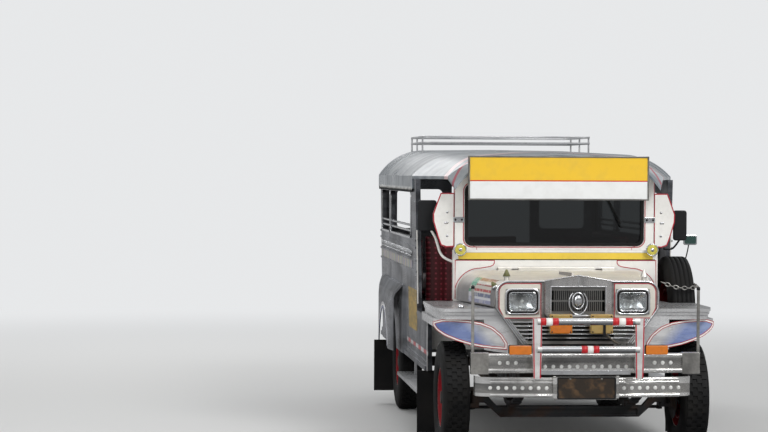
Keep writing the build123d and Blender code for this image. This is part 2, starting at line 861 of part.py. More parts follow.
with BuildPart() as lower_bumper:
    with BuildSketch(Plane.XY.offset(lower_bumper_bottom)):
        with BuildLine() as plan:
            Line((-lower_bumper_half, lower_bumper_y + lower_bumper_return), (-lower_bumper_half, bowed_y(lower_bumper_half)))
            ThreePointArc(
                (-lower_bumper_half, bowed_y(lower_bumper_half)),
                (0, lower_bumper_y),
                (lower_bumper_half, bowed_y(lower_bumper_half)),
            )
            Line((lower_bumper_half, bowed_y(lower_bumper_half)), (lower_bumper_half, lower_bumper_y + lower_bumper_return))
            fillet(plan.vertices().group_by(Axis.Y)[0], lower_bumper_turn)
            offset(amount=bumper_sheet, side=Side.RIGHT, closed=True)
        make_face()
    extrude(amount=lower_bumper_top - lower_bumper_bottom)
    lower_face_y = lower_bumper_y - bumper_sheet
    roll_half = lower_bumper_half - lower_bumper_turn
    roll_turn = asin(roll_half / lower_bow_radius)
    bow_centre = (0, lower_bumper_y + lower_bow_radius, 0)
    roll_plane = Plane(
        origin=bow_centre,
        x_dir=(-sin(roll_turn), -cos(roll_turn), 0),
        z_dir=(-cos(roll_turn), sin(roll_turn), 0),
    )
    for share, radius in lower_rolls:
        roll_z = lower_bumper_bottom + share * (lower_bumper_top - lower_bumper_bottom)
        with BuildSketch(roll_plane):
            with Locations((lower_bow_radius + bumper_sheet, roll_z)):
                Circle(radius)
        revolve(axis=Axis(bow_centre, (0, 0, 1)), revolution_arc=2 * degrees(roll_turn))
    plate_seat_y = bowed_y(plate_half_width)
    with Locations((0, lower_face_y - plate_thickness, plate_bottom)):
        Box(2 * plate_half_width, plate_seat_y - lower_face_y + plate_thickness, plate_height, align=(Align.CENTER, Align.MIN, Align.MIN))
    with BuildSketch(Plane.XZ.offset(-lower_face_y - 30)):
        with Locations((0, plate_bottom + plate_height - plate_bolt_drop)):
            with GridLocations(plate_bolt_spacing, 0, 2, 1):
                Circle(plate_bolt_radius)
    extrude(amount=60, mode=Mode.SUBTRACT)
    for side in (1, -1):
        bracket_y = bowed_y(rail_half_spacing + rail_width / 2) - bumper_sheet / 2
        with Locations((side * rail_half_spacing, bracket_y, lower_bumper_bottom + bumper_bracket_rise)):
            Box(rail_width, station(rail_front_station) - seat_gap - bracket_y, bumper_bracket_height, align=(Align.CENTER, Align.MIN, Align.MIN))
save(lower_bumper.part, "lower_bumper")

# The push bar's two tubes run between flat posts, which taper below the lower tube and bolt to both bumpers.
push_y = station(push_post_station)
signal_bottom = upper_bumper_top + seat_gap
post_waist = push_bar_lower - push_bar_radius - post_waist_drop
signal_stay_height = signal_height - 2 * push_stay_margin
with BuildPart() as push_bar:
    for side in (1, -1):
        with BuildSketch(Plane.XZ.offset(-push_y)):
            with BuildLine():
                Polyline(
                    (side * push_post_x - push_post_foot / 2, push_post_bottom),
                    (side * push_post_x + push_post_foot / 2, push_post_bottom),
                    (side * push_post_x + push_post_width / 2, post_waist),
                    (side * push_post_x + push_post_width / 2, push_post_top),
                    (side * push_post_x - push_post_width / 2, push_post_top),
                    (side * push_post_x - push_post_width / 2, post_waist),
                    close=True,
                )
            make_face()
        extrude(amount=-push_post_depth)
        bracket_depth = bumper_y - seat_gap - push_y
        with Locations((side * push_post_x, push_y, (upper_bumper_bottom + upper_bumper_top) / 2)):
            Box(push_stay_width, bracket_depth, push_stay_height, align=(Align.CENTER, Align.MIN, Align.CENTER))
        # Bracket behind the turn signal
        with Locations((side * push_post_x, push_y + signal_depth + seat_gap, signal_bottom + push_stay_margin)):
            bracket_align = Align.MIN if side > 0 else Align.MAX
            Box(signal_outer_x - signal_stay_inset - push_post_x, push_stay_sheet, signal_stay_height, align=(bracket_align, Align.MIN, Align.MIN))
        with Locations((side * push_post_x, push_y, signal_bottom + push_stay_margin)):
            Box(push_stay_width, signal_depth + push_stay_sheet, signal_stay_height, align=(Align.CENTER, Align.MIN, Align.MIN))
    for bar_z in (push_bar_lower, push_bar_upper):
        with Locations((0, push_y + push_post_depth / 2, bar_z)):
            Cylinder(push_bar_radius, 2 * push_post_x, rotation=(0, 90, 0))
save(push_bar.part, "push_bar")

# Turn signals sit on brackets of the push bar, tail lamps on the rear wall.
signal_lens_width = signal_outer_x - signal_inner_x - 2 * signal_lens_margin
with BuildPart() as signal_lamps:
    for side in (1, -1):
        with Locations((side * (signal_inner_x + signal_outer_x) / 2, push_y, signal_bottom)):
            Box(signal_outer_x - signal_inner_x, signal_depth, signal_height, align=(Align.CENTER, Align.MIN, Align.MIN))
        with Locations((side * (signal_inner_x + signal_outer_x) / 2, push_y, signal_bottom + signal_lens_rise)):
            Box(signal_lens_width, signal_lens_depth, signal_height - 2 * signal_lens_rise, align=(Align.CENTER, Align.MAX, Align.MIN))
        with Locations((side * tail_lamp_x, station(body_rear_station) + seat_gap, tail_lamp_bottom)):
            Box(tail_lamp_width, tail_lamp_depth, tail_lamp_height, align=(Align.CENTER, Align.MIN, Align.MIN))
save(signal_lamps.part, "signal_lamps")

# Two square lamps ahead of the lower grille and two round ones on the cowl.
with BuildPart() as fog_lamps:
    for side in (1, -1):
        lamp_mid = side * (fog_inner_x + fog_width / 2)
        with Locations((lamp_mid, station(fog_front_station), fog_bottom)):
            Box(fog_width, fog_shell_depth, fog_height, align=(Align.CENTER, Align.MIN, Align.MIN))
        with Locations((lamp_mid, station(fog_front_station) + fog_shell_depth, fog_bottom + fog_height / 2)):
            Cone(fog_back_radius, fog_neck_radius, fog_neck_length, rotation=(-90, 0, 0), align=(Align.CENTER, Align.CENTER, Align.MIN))
            Cylinder(fog_stalk_radius, -fog_front_station - fog_shell_depth - seat_gap, rotation=(-90, 0, 0), align=(Align.CENTER, Align.CENTER, Align.MIN))
        with Locations((side * round_fog_x, station(cowl_station) - round_fog_depth, round_fog_z)):
            Cylinder(round_fog_radius, round_fog_depth - seat_gap, rotation=(-90, 0, 0), align=(Align.CENTER, Align.CENTER, Align.MIN))
save(fog_lamps.part, "fog_lamps")


hinge_y = station((hood_rear_station + cowl_station) / 2)
hinge_z = hood_rear_top + hinge_lift
hood_reach = hinge_y - station(hood_front_station)
nose_return_depth = nose_return + 60


# The lamp panel is a rounded shield: straight flanks, then a taper to the lower grille.
def nose_outline(inset):
    half = nose_half_width - inset
    with BuildLine() as outline:
        Polyline(
            (-nose_bottom_half + inset, nose_bottom + inset),
            (nose_bottom_half - inset, nose_bottom + inset),
            (half, nose_shoulder),
            (half, nose_top - inset),
            (-half, nose_top - inset),
            (-half, nose_shoulder),
            close=True,
        )
        fillet(outline.vertices().group_by(Axis.Y)[-1], nose_corner - inset)
    return outline


def lamp_rectangle(margin):
    return Rectangle(lamp_width + 2 * margin, lamp_height + 2 * margin)


with BuildPart() as nose_panel:
    with BuildSketch(Plane.XZ.offset(-nose_y)):
        with BuildLine():
            add(nose_outline(0).line)
        make_face()
    extrude(amount=-nose_return_depth)
    with BuildSketch(Plane.XZ.offset(-nose_y - nose_sheet)):
        with BuildLine():
            add(nose_outline(nose_sheet).line)
        make_face()
    extrude(amount=-nose_return_depth, mode=Mode.SUBTRACT)
    # Below the shoulder the return is short; above it its rear edge is an arc about the hood's
    # hinge, so that the hood can swing past.
    with Locations((0, station(nose_return), nose_bottom - 10)):
        return_cut_height = nose_shoulder - nose_bottom + 10
        Box(3 * nose_half_width, 3 * nose_return_depth, return_cut_height, align=(Align.CENTER, Align.MIN, Align.MIN), mode=Mode.SUBTRACT)
    with Locations((0, hinge_y, hinge_z)):
        Cylinder(hood_reach + moving_gap, 3 * nose_half_width, rotation=(0, 90, 0), mode=Mode.SUBTRACT)
    with BuildSketch(Plane.XZ.offset(-nose_y)):
        with Locations((lamp_x, lamp_z), (-lamp_x, lamp_z)):
            lamp_rectangle(lamp_lip)
    extrude(amount=8)
    with BuildSketch(Plane.XZ.offset(-nose_y + 20)):
        with Locations((lamp_x, lamp_z), (-lamp_x, lamp_z)):
            RectangleRounded(lamp_width + 2 * seat_gap, lamp_height + 2 * seat_gap, lamp_corner)
        with Locations((0, (grille_opening_bottom + grille_opening_top) / 2)):
            Rectangle(2 * grille_opening_half, grille_opening_top - grille_opening_bottom)
        for row in range(louvre_count):
            slot_z = louvre_bottom + louvre_height + (row + 0.5) * louvre_pitch - 4
            reach = nose_bottom_half - louvre_margin + (slot_z - nose_bottom) * (nose_half_width - nose_bottom_half) / (nose_shoulder - nose_bottom)
            with Locations((0, slot_z)):
                SlotOverall(2 * reach, louvre_pitch - louvre_height)
    extrude(amount=-60, mode=Mode.SUBTRACT)
    # Legs that stand on the frame rails
    for side in (1, -1):
        with Locations((side * rail_half_spacing, station(nose_sheet), rail_bottom + rail_height + seat_gap)):
            leg_align = Align.MAX if side > 0 else Align.MIN
            Box(60, nose_return - nose_sheet, 190, align=(leg_align, Align.MIN, Align.MIN))
save(nose_panel.part, "nose_panel")

with BuildPart() as headlamps:
    with BuildSketch(Plane.XZ.offset(-nose_y + 8 + lamp_proud)):
        with Locations((lamp_x, lamp_z), (-lamp_x, lamp_z)):
            RectangleRounded(lamp_width, lamp_height, lamp_corner)
    extrude(amount=-lamp_depth)
save(headlamps.part, "headlamps")


# The radiator shell is a pentagon with a pediment, open in the middle.
def shell_outline():
    with BuildLine() as outline:
        Polyline(
            (-grille_half_width, grille_bottom),
            (grille_half_width, grille_bottom),
            (grille_half_width, grille_shoulder),
            (0, grille_apex),
            (-grille_half_width, grille_shoulder),
            close=True,
        )
        fillet(outline.vertices().group_by(Axis.Y)[0], 40)
        fillet(outline.vertices().group_by(Axis.Y)[-2], 14)
    return outline


shell_mid_z = (grille_opening_bottom + grille_opening_top) / 2
with BuildPart() as grille_shell:
    with BuildSketch(Plane.XZ.offset(-nose_y + seat_gap)):
        with BuildLine():
            add(shell_outline().line)
        make_face()
    extrude(amount=grille_proud, taper=grille_taper)
    with BuildSketch(Plane.XZ.offset(-nose_y)):
        with Locations((0, shell_mid_z)):
            Rectangle(2 * grille_opening_half, grille_opening_top - grille_opening_bottom)
    extrude(amount=2 * grille_proud, mode=Mode.SUBTRACT)
save(grille_shell.part, "grille_shell")

slat_pitch = 2 * (grille_opening_half - slat_margin) / slat_count
with BuildPart() as grille_slats:
    with BuildSketch(Plane.XZ.offset(-nose_y + slat_depth / 2 + 2)):
        with Locations((0, shell_mid_z)):
            with GridLocations(slat_pitch, 0, slat_count, 1):
                Rectangle(slat_width, grille_opening_top - grille_opening_bottom - 2 * seat_gap)
            for rail_z in (-1, 1):
                with Locations((0, rail_z * (grille_opening_top - grille_opening_bottom - slat_frame) / 2)):
                    Rectangle(2 * (grille_opening_half - seat_gap), slat_frame - 2 * seat_gap)
            Rectangle(2 * (grille_opening_half - seat_gap), slat_rail)
    extrude(amount=slat_depth / 2, both=True)
    with Locations((0, nose_y - slat_depth - 2, shell_mid_z)):
        Cylinder(boss_radius, boss_depth, rotation=(90, 0, 0))
save(grille_slats.part, "grille_slats")

with BuildPart() as radiator:
    with Locations((0, station(radiator_station), rail_bottom + rail_height + seat_gap)):
        Box(2 * rail_half_spacing, radiator_depth, radiator_foot_height, align=(Align.CENTER, Align.MIN, Align.MIN))
        Box(2 * radiator_half_width, radiator_depth, radiator_height, align=(Align.CENTER, Align.MIN, Align.MIN))
save(radiator.part, "radiator")


hinge_half_length = 420
hinge_pin_radius = 6
ear_x = 300
ear_width = 50


# The hood is a trough of sheet, lofted from the nose's width to the cowl's.
def hood_section(place, half, top, corner, inset):
    with BuildSketch(Plane.XZ.offset(-station(place))) as section:
        with BuildLine() as outline:
            Polyline(
                (-half + inset, hood_bottom - inset),
                (-half + inset, top - inset),
                (half - inset, top - inset),
                (half - inset, hood_bottom - inset),
                close=True,
            )
            fillet(outline.vertices().group_by(Axis.Y)[-1], corner - inset)
        make_face()
    return section


with BuildPart() as hood:
    for inset, mode in ((0, Mode.ADD), (hood_sheet, Mode.SUBTRACT)):
        front = hood_section(hood_front_station - inset, hood_front_half, hood_front_top, hood_front_corner, inset)
        rear = hood_section(hood_rear_station + inset, hood_rear_half, hood_rear_top, hood_rear_corner, inset)
        loft([front.sketch.face(), rear.sketch.face()], mode=mode)
    with Locations((0, hinge_y, hinge_z)):
        Cylinder(hood_reach, 3 * hood_rear_half, rotation=(0, 90, 0), mode=Mode.INTERSECT)
    for side in (1, -1):
        with Locations((side * cone_x, station(cone_station), hood_front_top - hood_sheet)):
            Cylinder(cone_foot_radius, cone_foot_height + hood_sheet, align=(Align.CENTER, Align.CENTER, Align.MIN))
        with Locations((side * cone_x, station(cone_station), hood_front_top + cone_foot_height)):
            Cone(cone_radius, cone_tip_radius, cone_length, align=(Align.CENTER, Align.CENTER, Align.MIN))
    hood_bar_z = hood_front_top + (hood_rear_top - hood_front_top) * hood_bar_station / hood_rear_station
    with Locations((0, station(hood_bar_station), hood_bar_z - hood_sheet)):
        Box(hood_bar_width, hood_bar_length, hood_bar_height + hood_sheet, rotation=(0, 0, hood_bar_turn), align=(Align.CENTER, Align.CENTER, Align.MIN))
    # Hinge straps on a long pin; the cowl's two ears run between them
    for inner, outer in ((0, ear_x - ear_width / 2 - seat_gap), (ear_x + ear_width / 2 + seat_gap, hinge_half_length)):
        for side in (1, -1):
            strap_align = Align.MIN if side > 0 else Align.MAX
            with Locations((side * inner, hinge_y, hinge_z)):
                Cylinder(hinge_radius, outer - inner, rotation=(0, 90, 0), align=(Align.CENTER, Align.CENTER, strap_align))
            with Locations((side * inner, hinge_y, hinge_z)):
                Box(outer - inner, strap_reach, hinge_radius, align=(strap_align, Align.MAX, Align.MAX))
            with Locations((side * inner, hinge_y - strap_reach, hinge_z)):
                Box(outer - inner, strap_foot, hinge_z - hood_rear_top + hood_sheet, align=(strap_align, Align.CENTER, Align.MAX))
    with Locations((0, hinge_y, hinge_z)):
        Cylinder(hinge_pin_radius, 2 * hinge_half_length, rotation=(0, 90, 0))
save(hood.part, "hood")

# The cowl: firewall, side cheeks and top, with the dashboard and steering column behind it.
column_x = 380
column_tilt = 32
column_foot = (column_x, station(cowl_station + 40), 1090)
column_length = 330
column_radius = 24
with BuildPart() as cowl:
    cowl_y = station(cowl_station)
    with Locations((0, cowl_y, cowl_bottom)):
        Box(2 * cowl_half_width, cowl_depth, cowl_top - cowl_bottom, align=(Align.CENTER, Align.MIN, Align.MIN))
    with Locations((0, cowl_y + cowl_sheet, cowl_bottom)):
        Box(2 * (cowl_half_width - cowl_sheet), cowl_depth, cowl_top - cowl_bottom - cowl_sheet, align=(Align.CENTER, Align.MIN, Align.MIN), mode=Mode.SUBTRACT)
    with Locations((0, cowl_y, floor_top + seat_gap)):
        Box(2 * cowl_half_width, cowl_sheet, cowl_bottom - floor_top - seat_gap, align=(Align.CENTER, Align.MIN, Align.MIN))
        Box(sill_half_width - wall - seat_gap, cowl_sheet, door_sill_top - floor_top, align=(Align.MAX, Align.MIN, Align.MIN))
    # Ears for the hood's hinge pin
    for side in (1, -1):
        with Locations((side * ear_x, hinge_y, hinge_z)):
            Cylinder(hinge_radius, ear_width, rotation=(0, 90, 0))
            Box(ear_width, cowl_y - hinge_y + 4, 2 * hinge_radius, align=(Align.CENTER, Align.MIN, Align.CENTER))
            Cylinder(hinge_pin_radius + running_gap, 2 * ear_width, rotation=(0, 90, 0), mode=Mode.SUBTRACT)
    # Dashboard with a rolled lower edge
    with BuildSketch(Plane.YZ):
        with BuildLine() as dash:
            Polyline(
                (cowl_y + 10, cowl_top - 10),
                (cowl_y + 10, cowl_top - 30),
                (cowl_y + dash_depth, cowl_top - 40),
                (cowl_y + dash_depth, cowl_top - dash_drop),
                (cowl_y + dash_depth + dash_roll, cowl_top - dash_drop),
                (cowl_y + dash_depth + dash_roll, cowl_top - 10),
                close=True,
            )
            fillet(dash.vertices().sort_by(Axis.X)[-1], 9)
        make_face()
    extrude(amount=cowl_half_width - cowl_sheet, both=True)
    column_direction = (0, cos(radians(column_tilt)), sin(radians(column_tilt)))
    with BuildSketch(Plane(origin=column_foot, z_dir=column_direction)):
        Circle(column_radius)
    extrude(amount=column_length)
save(cowl.part, "cowl")

hub_standoff = 22
wheel_centre = Vector(*column_foot) + Vector(*column_direction) * (column_length + hub_standoff)
steering_wheel_radius = 205
steering_hub_radius = 34
spoke_width = 22
rim_tube_radius = 12
with BuildPart() as steering_wheel:
    with BuildSketch(Plane(origin=wheel_centre, x_dir=(1, 0, 0), z_dir=column_direction)):
        Circle(steering_hub_radius)
        with PolarLocations(0, 3, start_angle=90):
            Rectangle(steering_wheel_radius, spoke_width, align=(Align.MIN, Align.CENTER))
    extrude(amount=5, both=True)
    with BuildSketch(Plane(origin=wheel_centre, x_dir=(1, 0, 0), z_dir=(0, -sin(radians(column_tilt)), cos(radians(column_tilt))))):
        with Locations((steering_wheel_radius, 0)):
            Circle(rim_tube_radius)
    revolve(axis=Axis(wheel_centre, column_direction))
    with BuildSketch(Plane(origin=wheel_centre - Vector(*column_direction) * (hub_standoff - seat_gap), z_dir=column_direction)):
        Circle(16)
    extrude(amount=hub_standoff + 2)
save(steering_wheel.part, "steering_wheel")


# Each fender: a ledge with two rolls along its front edge, a set-back apron that meets the
# nose's taper, a leaf-shaped wing round the outer corner, and a splash panel inside the wheel.
def ledge_plan(side, setback):
    front = station(apron_station) + setback
    with BuildLine() as outline:
        Polyline(
            (0, front),
            (side * (ledge_corner_x - setback), front),
            (side * (ledge_outer - setback), front + ledge_corner_length),
            (side * (ledge_outer - setback), ledge_rear),
            (0, ledge_rear),
            close=True,
        )
    return outline


def apron_plan(side, inset):
    front = station(apron_station) + 2 * ledge_roll_setback + inset
    tip = station(wing_tip_station) + inset
    outer = fender_outer - inset
    with BuildLine() as outline:
        Line((0, front), (side * wing_inner_x, front))
        ThreePointArc((side * wing_inner_x, front), (side * wing_belly_x, front + 22), (side * outer, tip))
        Line((side * outer, tip), (side * outer, ledge_rear + inset))
        Line((side * outer, ledge_rear + inset), (0, ledge_rear + inset))
        Line((0, ledge_rear + inset), (0, front))
    return outline


ledge_rear = station(cowl_station) - seat_gap
nose_clearance = nose_half_width + moving_gap
nose_leg_clearance = rail_half_spacing + moving_gap
nose_taper_slope = (nose_shoulder - nose_bottom) / (nose_half_width - nose_bottom_half)
nose_leg_meets_taper = nose_bottom + (nose_leg_clearance - moving_gap - nose_bottom_half) * nose_taper_slope
with BuildPart() as fenders:
    for side in (1, -1):
        with BuildSketch(Plane.XY.offset(wing_inner_bottom - ledge_roll)):
            with BuildLine():
                add(apron_plan(side, 0).line)
            make_face()
        extrude(amount=ledge_face_bottom - wing_inner_bottom + ledge_roll)
        for level in range(3):
            level_top = ledge_top - level * ledge_roll
            level_bottom = level_top - ledge_roll if level < 2 else ledge_face_bottom
            with BuildSketch(Plane.XY.offset(level_bottom)):
                with BuildLine():
                    add(ledge_plan(side, level * ledge_roll_setback).line)
                make_face()
            extrude(amount=level_top - level_bottom)
        with BuildSketch(Plane.XY.offset(wing_inner_bottom - 2 * ledge_roll)):
            with BuildLine():
                add(apron_plan(side, ledge_sheet).line)
            make_face()
        extrude(amount=ledge_face_bottom - ledge_sheet - wing_inner_bottom + 2 * ledge_roll, mode=Mode.SUBTRACT)
        with BuildSketch(Plane.XY.offset(wing_inner_bottom)):
            with BuildLine():
                add(ledge_plan(side, 2 * ledge_roll_setback + ledge_sheet).line)
            make_face()
        extrude(amount=ledge_top - ledge_sheet - wing_inner_bottom, mode=Mode.SUBTRACT)
        # The wing's lower edge sweeps up to its tip, and the skirt behind the tip ends there
        with BuildSketch(Plane.XZ.offset(-station(apron_station - 20))):
            with BuildLine():
                Polyline(
                    (side * (fender_outer + 60), wing_tip_bottom),
                    (side * (fender_outer + 60), splash_panel_bottom - 200),
                    (0, splash_panel_bottom - 200),
                    (0, wing_inner_bottom),
                    (side * wing_inner_x, wing_inner_bottom),
                )
                ThreePointArc(
                    (side * wing_inner_x, wing_inner_bottom),
                    (side * wing_belly_x, wing_belly_bottom),
                    (side * fender_outer, wing_tip_bottom),
                )
                Line((side * fender_outer, wing_tip_bottom), (side * (fender_outer + 60), wing_tip_bottom))
            make_face()
        extrude(amount=-2000, mode=Mode.SUBTRACT)
        splash_mid_y = (station(apron_station) + 2 * ledge_roll_setback + ledge_rear) / 2
        splash_length = ledge_rear - station(apron_station) - 2 * ledge_roll_setback
        with Locations((side * splash_panel_x, splash_mid_y, splash_panel_bottom)):
            splash_align = Align.MIN if side > 0 else Align.MAX
            Box(ledge_sheet, splash_length, ledge_top - splash_panel_bottom, align=(splash_align, Align.CENTER, Align.MIN))
    # The nose and the engine bay stay clear
    with BuildSketch(Plane.XZ.offset(-station(apron_station - 20))):
        with BuildLine():
            Polyline(
                (nose_leg_clearance, 0),
                (nose_leg_clearance, nose_leg_meets_taper),
                (nose_clearance, nose_shoulder),
                (nose_clearance, ledge_top + 100),
                (-nose_clearance, ledge_top + 100),
                (-nose_clearance, nose_shoulder),
                (-nose_leg_clearance, nose_leg_meets_taper),
                (-nose_leg_clearance, 0),
                close=True,
            )
        make_face()
    extrude(amount=-nose_return_depth - 100, mode=Mode.SUBTRACT)
    with Locations((0, station(apron_station) + 60, 0)):
        Box(2 * nose_clearance, 2000, 2 * ledge_top, align=(Align.CENTER, Align.MIN, Align.CENTER), mode=Mode.SUBTRACT)
    for side in (1, -1):
        # Rear leg of the fender behind the wheel, down beside the sill's front edge
        leg_front_y = station(sill_front_station - 34)
        with Locations((side * (ledge_outer - 2 * ledge_roll_setback), leg_front_y, sill_bottom)):
            leg_align = Align.MAX if side > 0 else Align.MIN
            Box(ledge_sheet, 30, ledge_face_bottom - sill_bottom + 20, align=(leg_align, Align.MIN, Align.MIN))
    # The left ledge stops ahead of the spare wheel
    with Locations((spare_x - spare_well_half, station(spare_station - tyre_radius - 12), 0)):
        Box(400, 400, 2 * ledge_top, align=(Align.MIN, Align.MIN, Align.CENTER), mode=Mode.SUBTRACT)
save(fenders.part, "fenders")

under_roof = roof_space(0)

# The windshield frame carries an ear-shaped plate on each side.
ear_corners = (
    # x, share of the plate's height
    (ear_inner_x, 0.01),
    (ear_inner_x, 1),
    (ear_inner_x + 98, 1),
    (ear_inner_x + 124, 0.83),
    (ear_inner_x + 154, 0.62),
    (ear_inner_x + 153, 0.48),
    (ear_inner_x + 118, 0.18),
    (ear_inner_x + 95, 0.03),
    (ear_inner_x + 55, 0),
)
with BuildPart() as windshield_frame:
    frame_y = station(screen_station)
    frame_mid_z = (screen_bottom + screen_top) / 2
    with BuildSketch(Plane.XZ.offset(-frame_y)):
        with Locations((0, frame_mid_z)):
            Rectangle(2 * screen_half_width, screen_top - screen_bottom - 2 * seat_gap)
        with Locations((0, (glass_bottom + glass_top) / 2)):
            RectangleRounded(2 * (glass_half_width + seat_gap), glass_top - glass_bottom + 2 * seat_gap, glass_corner, mode=Mode.SUBTRACT)
    extrude(amount=-screen_depth)
    # Header closed up to the roof's underside
    with Locations((0, frame_y, screen_top - 10)):
        Box(2 * screen_half_width, header_depth, roof_rear_crown - screen_top, align=(Align.CENTER, Align.MIN, Align.MIN))
    add(under_roof, mode=Mode.INTERSECT)
    for side in (1, -1):
        with BuildSketch(Plane.XZ.offset(-frame_y)):
            with BuildLine() as ear:
                Polyline([(side * x, ear_bottom + share * (ear_top - ear_bottom)) for x, share in ear_corners], close=True)
                fillet(ear.vertices().filter_by(lambda corner: abs(corner.X) > ear_inner_x + 20), 18)
            make_face()
        extrude(amount=-ear_sheet)
save(windshield_frame.part, "windshield_frame")

with BuildPart() as windshield_glass:
    with BuildSketch(Plane.XZ.offset(-frame_y - (screen_depth - glass_thickness) / 2)):
        with Locations((0, (glass_bottom + glass_top) / 2)):
            RectangleRounded(2 * glass_half_width, glass_top - glass_bottom, glass_corner)
    extrude(amount=-glass_thickness)
save(windshield_glass.part, "windshield_glass")

mirror_housings = (
    # side, inner X, outer X, bottom Z, top Z, Z of the tube's foot on the cowl
    (1, 877, 976, 1439, 1657, 1345),
    (-1, 840, 974, 1503, 1725, 1290),
)
with BuildPart() as mirrors:
    mirror_y = station(mirror_station)
    foot_y = station(cowl_station) + cowl_depth / 2
    for side, inner_x, outer_x, bottom, top, foot_z in mirror_housings:
        mirror_mid = (inner_x + outer_x) / 2
        with BuildSketch(Plane.XZ.offset(-mirror_y)):
            with Locations((side * mirror_mid, (bottom + top) / 2)):
                RectangleRounded(outer_x - inner_x, top - bottom, mirror_corner)
        extrude(amount=-mirror_depth)
        # Bent tube from the cowl's flank up to the mirror
        with BuildLine() as tube:
            tube_points = (
                (side * (cowl_half_width + seat_gap), foot_y, foot_z),
                (side * (cowl_half_width + 0.62 * (mirror_mid - cowl_half_width)), foot_y + 30, foot_z + 30),
                (side * mirror_mid, mirror_y + mirror_depth / 2, bottom + 12),
            )
            ThreePointArc(*tube_points)
        with BuildSketch(Plane(origin=tube.line @ 0, z_dir=tube.line % 0)):
            Circle(mirror_tube_radius)
        sweep()
        with Locations((side * (cowl_half_width + seat_gap), foot_y, foot_z)):
            foot_align = Align.MIN if side > 0 else Align.MAX
            Box(mirror_foot_sheet, mirror_foot_size, mirror_foot_size, align=(foot_align, Align.CENTER, Align.CENTER))
        with Locations((side * (cowl_half_width + seat_gap), foot_y, foot_z)):
            Box(40, 80, 80, align=(Align.MAX if side > 0 else Align.MIN, Align.CENTER, Align.CENTER), mode=Mode.SUBTRACT)
save(mirrors.part, "mirrors")

# Floor on crossbeams, with the wheel boxes and the bench boxes pressed into it.
floor_front_y = station(cowl_station) + cowl_sheet + seat_gap
floor_rear_y = station(body_rear_station) - wall - seat_gap
floor_half = sill_half_width - wall - seat_gap
bench_front_y = station(bench_front_station)
with BuildPart() as floor:
    with Locations((0, floor_front_y, floor_top - floor_thickness)):
        Box(2 * floor_half, floor_rear_y - floor_front_y, floor_thickness, align=(Align.CENTER, Align.MIN, Align.MIN))
    for place in crossbeam_stations:
        with Locations((0, station(place), rail_bottom + rail_height + seat_gap)):
            Box(2 * floor_half, crossbeam_width, floor_top - floor_thickness - rail_bottom - rail_height, align=(Align.CENTER, Align.CENTER, Align.MIN))
    for side in (1, -1):
        box_align = Align.MIN if side > 0 else Align.MAX
        with Locations((side * bench_inner_x, bench_front_y, floor_top - 4)):
            Box(bench_board, floor_rear_y - bench_front_y, bench_top - floor_top + 4, align=(box_align, Align.MIN, Align.MIN))
        with Locations((side * bench_inner_x, bench_front_y, bench_top)):
            Box(floor_half - bench_inner_x, floor_rear_y - bench_front_y, bench_board, align=(box_align, Align.MIN, Align.MAX))
        with Locations((side * bench_inner_x, bench_front_y, floor_top - 4)):
            Box(floor_half - bench_inner_x, bench_board, bench_top - floor_top + 4, align=(box_align, Align.MIN, Align.MIN))
        with Locations((side * wheel_box_inner, rear_axle_y, floor_top - floor_thickness)):
            Box(floor_half - wheel_box_inner, 2 * wheel_box_half, wheel_box_top - floor_top + floor_thickness, align=(box_align, Align.CENTER, Align.MIN))
        with Locations((side * (wheel_box_inner + 6), rear_axle_y, floor_top - floor_thickness - 80)):
            Box(floor_half - wheel_box_inner, 2 * (wheel_box_half - 6), wheel_box_top - floor_top + floor_thickness + 74, align=(box_align, Align.CENTER, Align.MIN), mode=Mode.SUBTRACT)
    # Well for the upright spare wheel in the left doorway
    with Locations((spare_x - spare_well_half, station(spare_station - tyre_radius - 100), sill_bottom)):
        Box(400, pillar_station - spare_station + tyre_radius + 100, 800, align=Align.MIN, mode=Mode.SUBTRACT)
save(floor.part, "floor")

def wall_inner_x(height):
    lean = (body_half_width - sill_half_width - 8) / (drip_height - door_sill_top)
    return sill_half_width + 8 - wall + (height - door_sill_top) * lean


def wall_outer_x(height):
    return wall_inner_x(height) + wall


# Side walls lean out towards the roof, with a stepped sill and ribs at the belt;
# windows, doorway and wheel arch are cut through.
def wall_section(side):
    corners = [(sill_half_width - wall, sill_bottom)]
    for step in (2, 1):
        base = sill_bottom + (2 - step) * sill_step_height
        corners += [(sill_half_width + step * sill_step_depth, base)]
        corners += [(sill_half_width + step * sill_step_depth, base + sill_step_height)]
    corners += [(sill_half_width, sill_bottom + 2 * sill_step_height)]
    corners += [(wall_outer_x(door_sill_top), door_sill_top)]
    for rib_bottom in belt_rib_bottoms:
        for height, proud in ((0, 0), (0, belt_rib_depth), (belt_rib_height, belt_rib_depth), (belt_rib_height, 0)):
            corners += [(wall_outer_x(rib_bottom + height) + proud, rib_bottom + height)]
    corners += [(body_half_width, drip_height), (body_half_width - wall, drip_height)]
    corners += [(wall_inner_x(door_sill_top), door_sill_top)]
    with BuildLine() as outline:
        Polyline([(side * x, z) for x, z in corners], close=True)
    return outline


belt_rib_bottoms = (window_bottom - 254, window_bottom - 172, window_bottom - 78, window_bottom - 24)


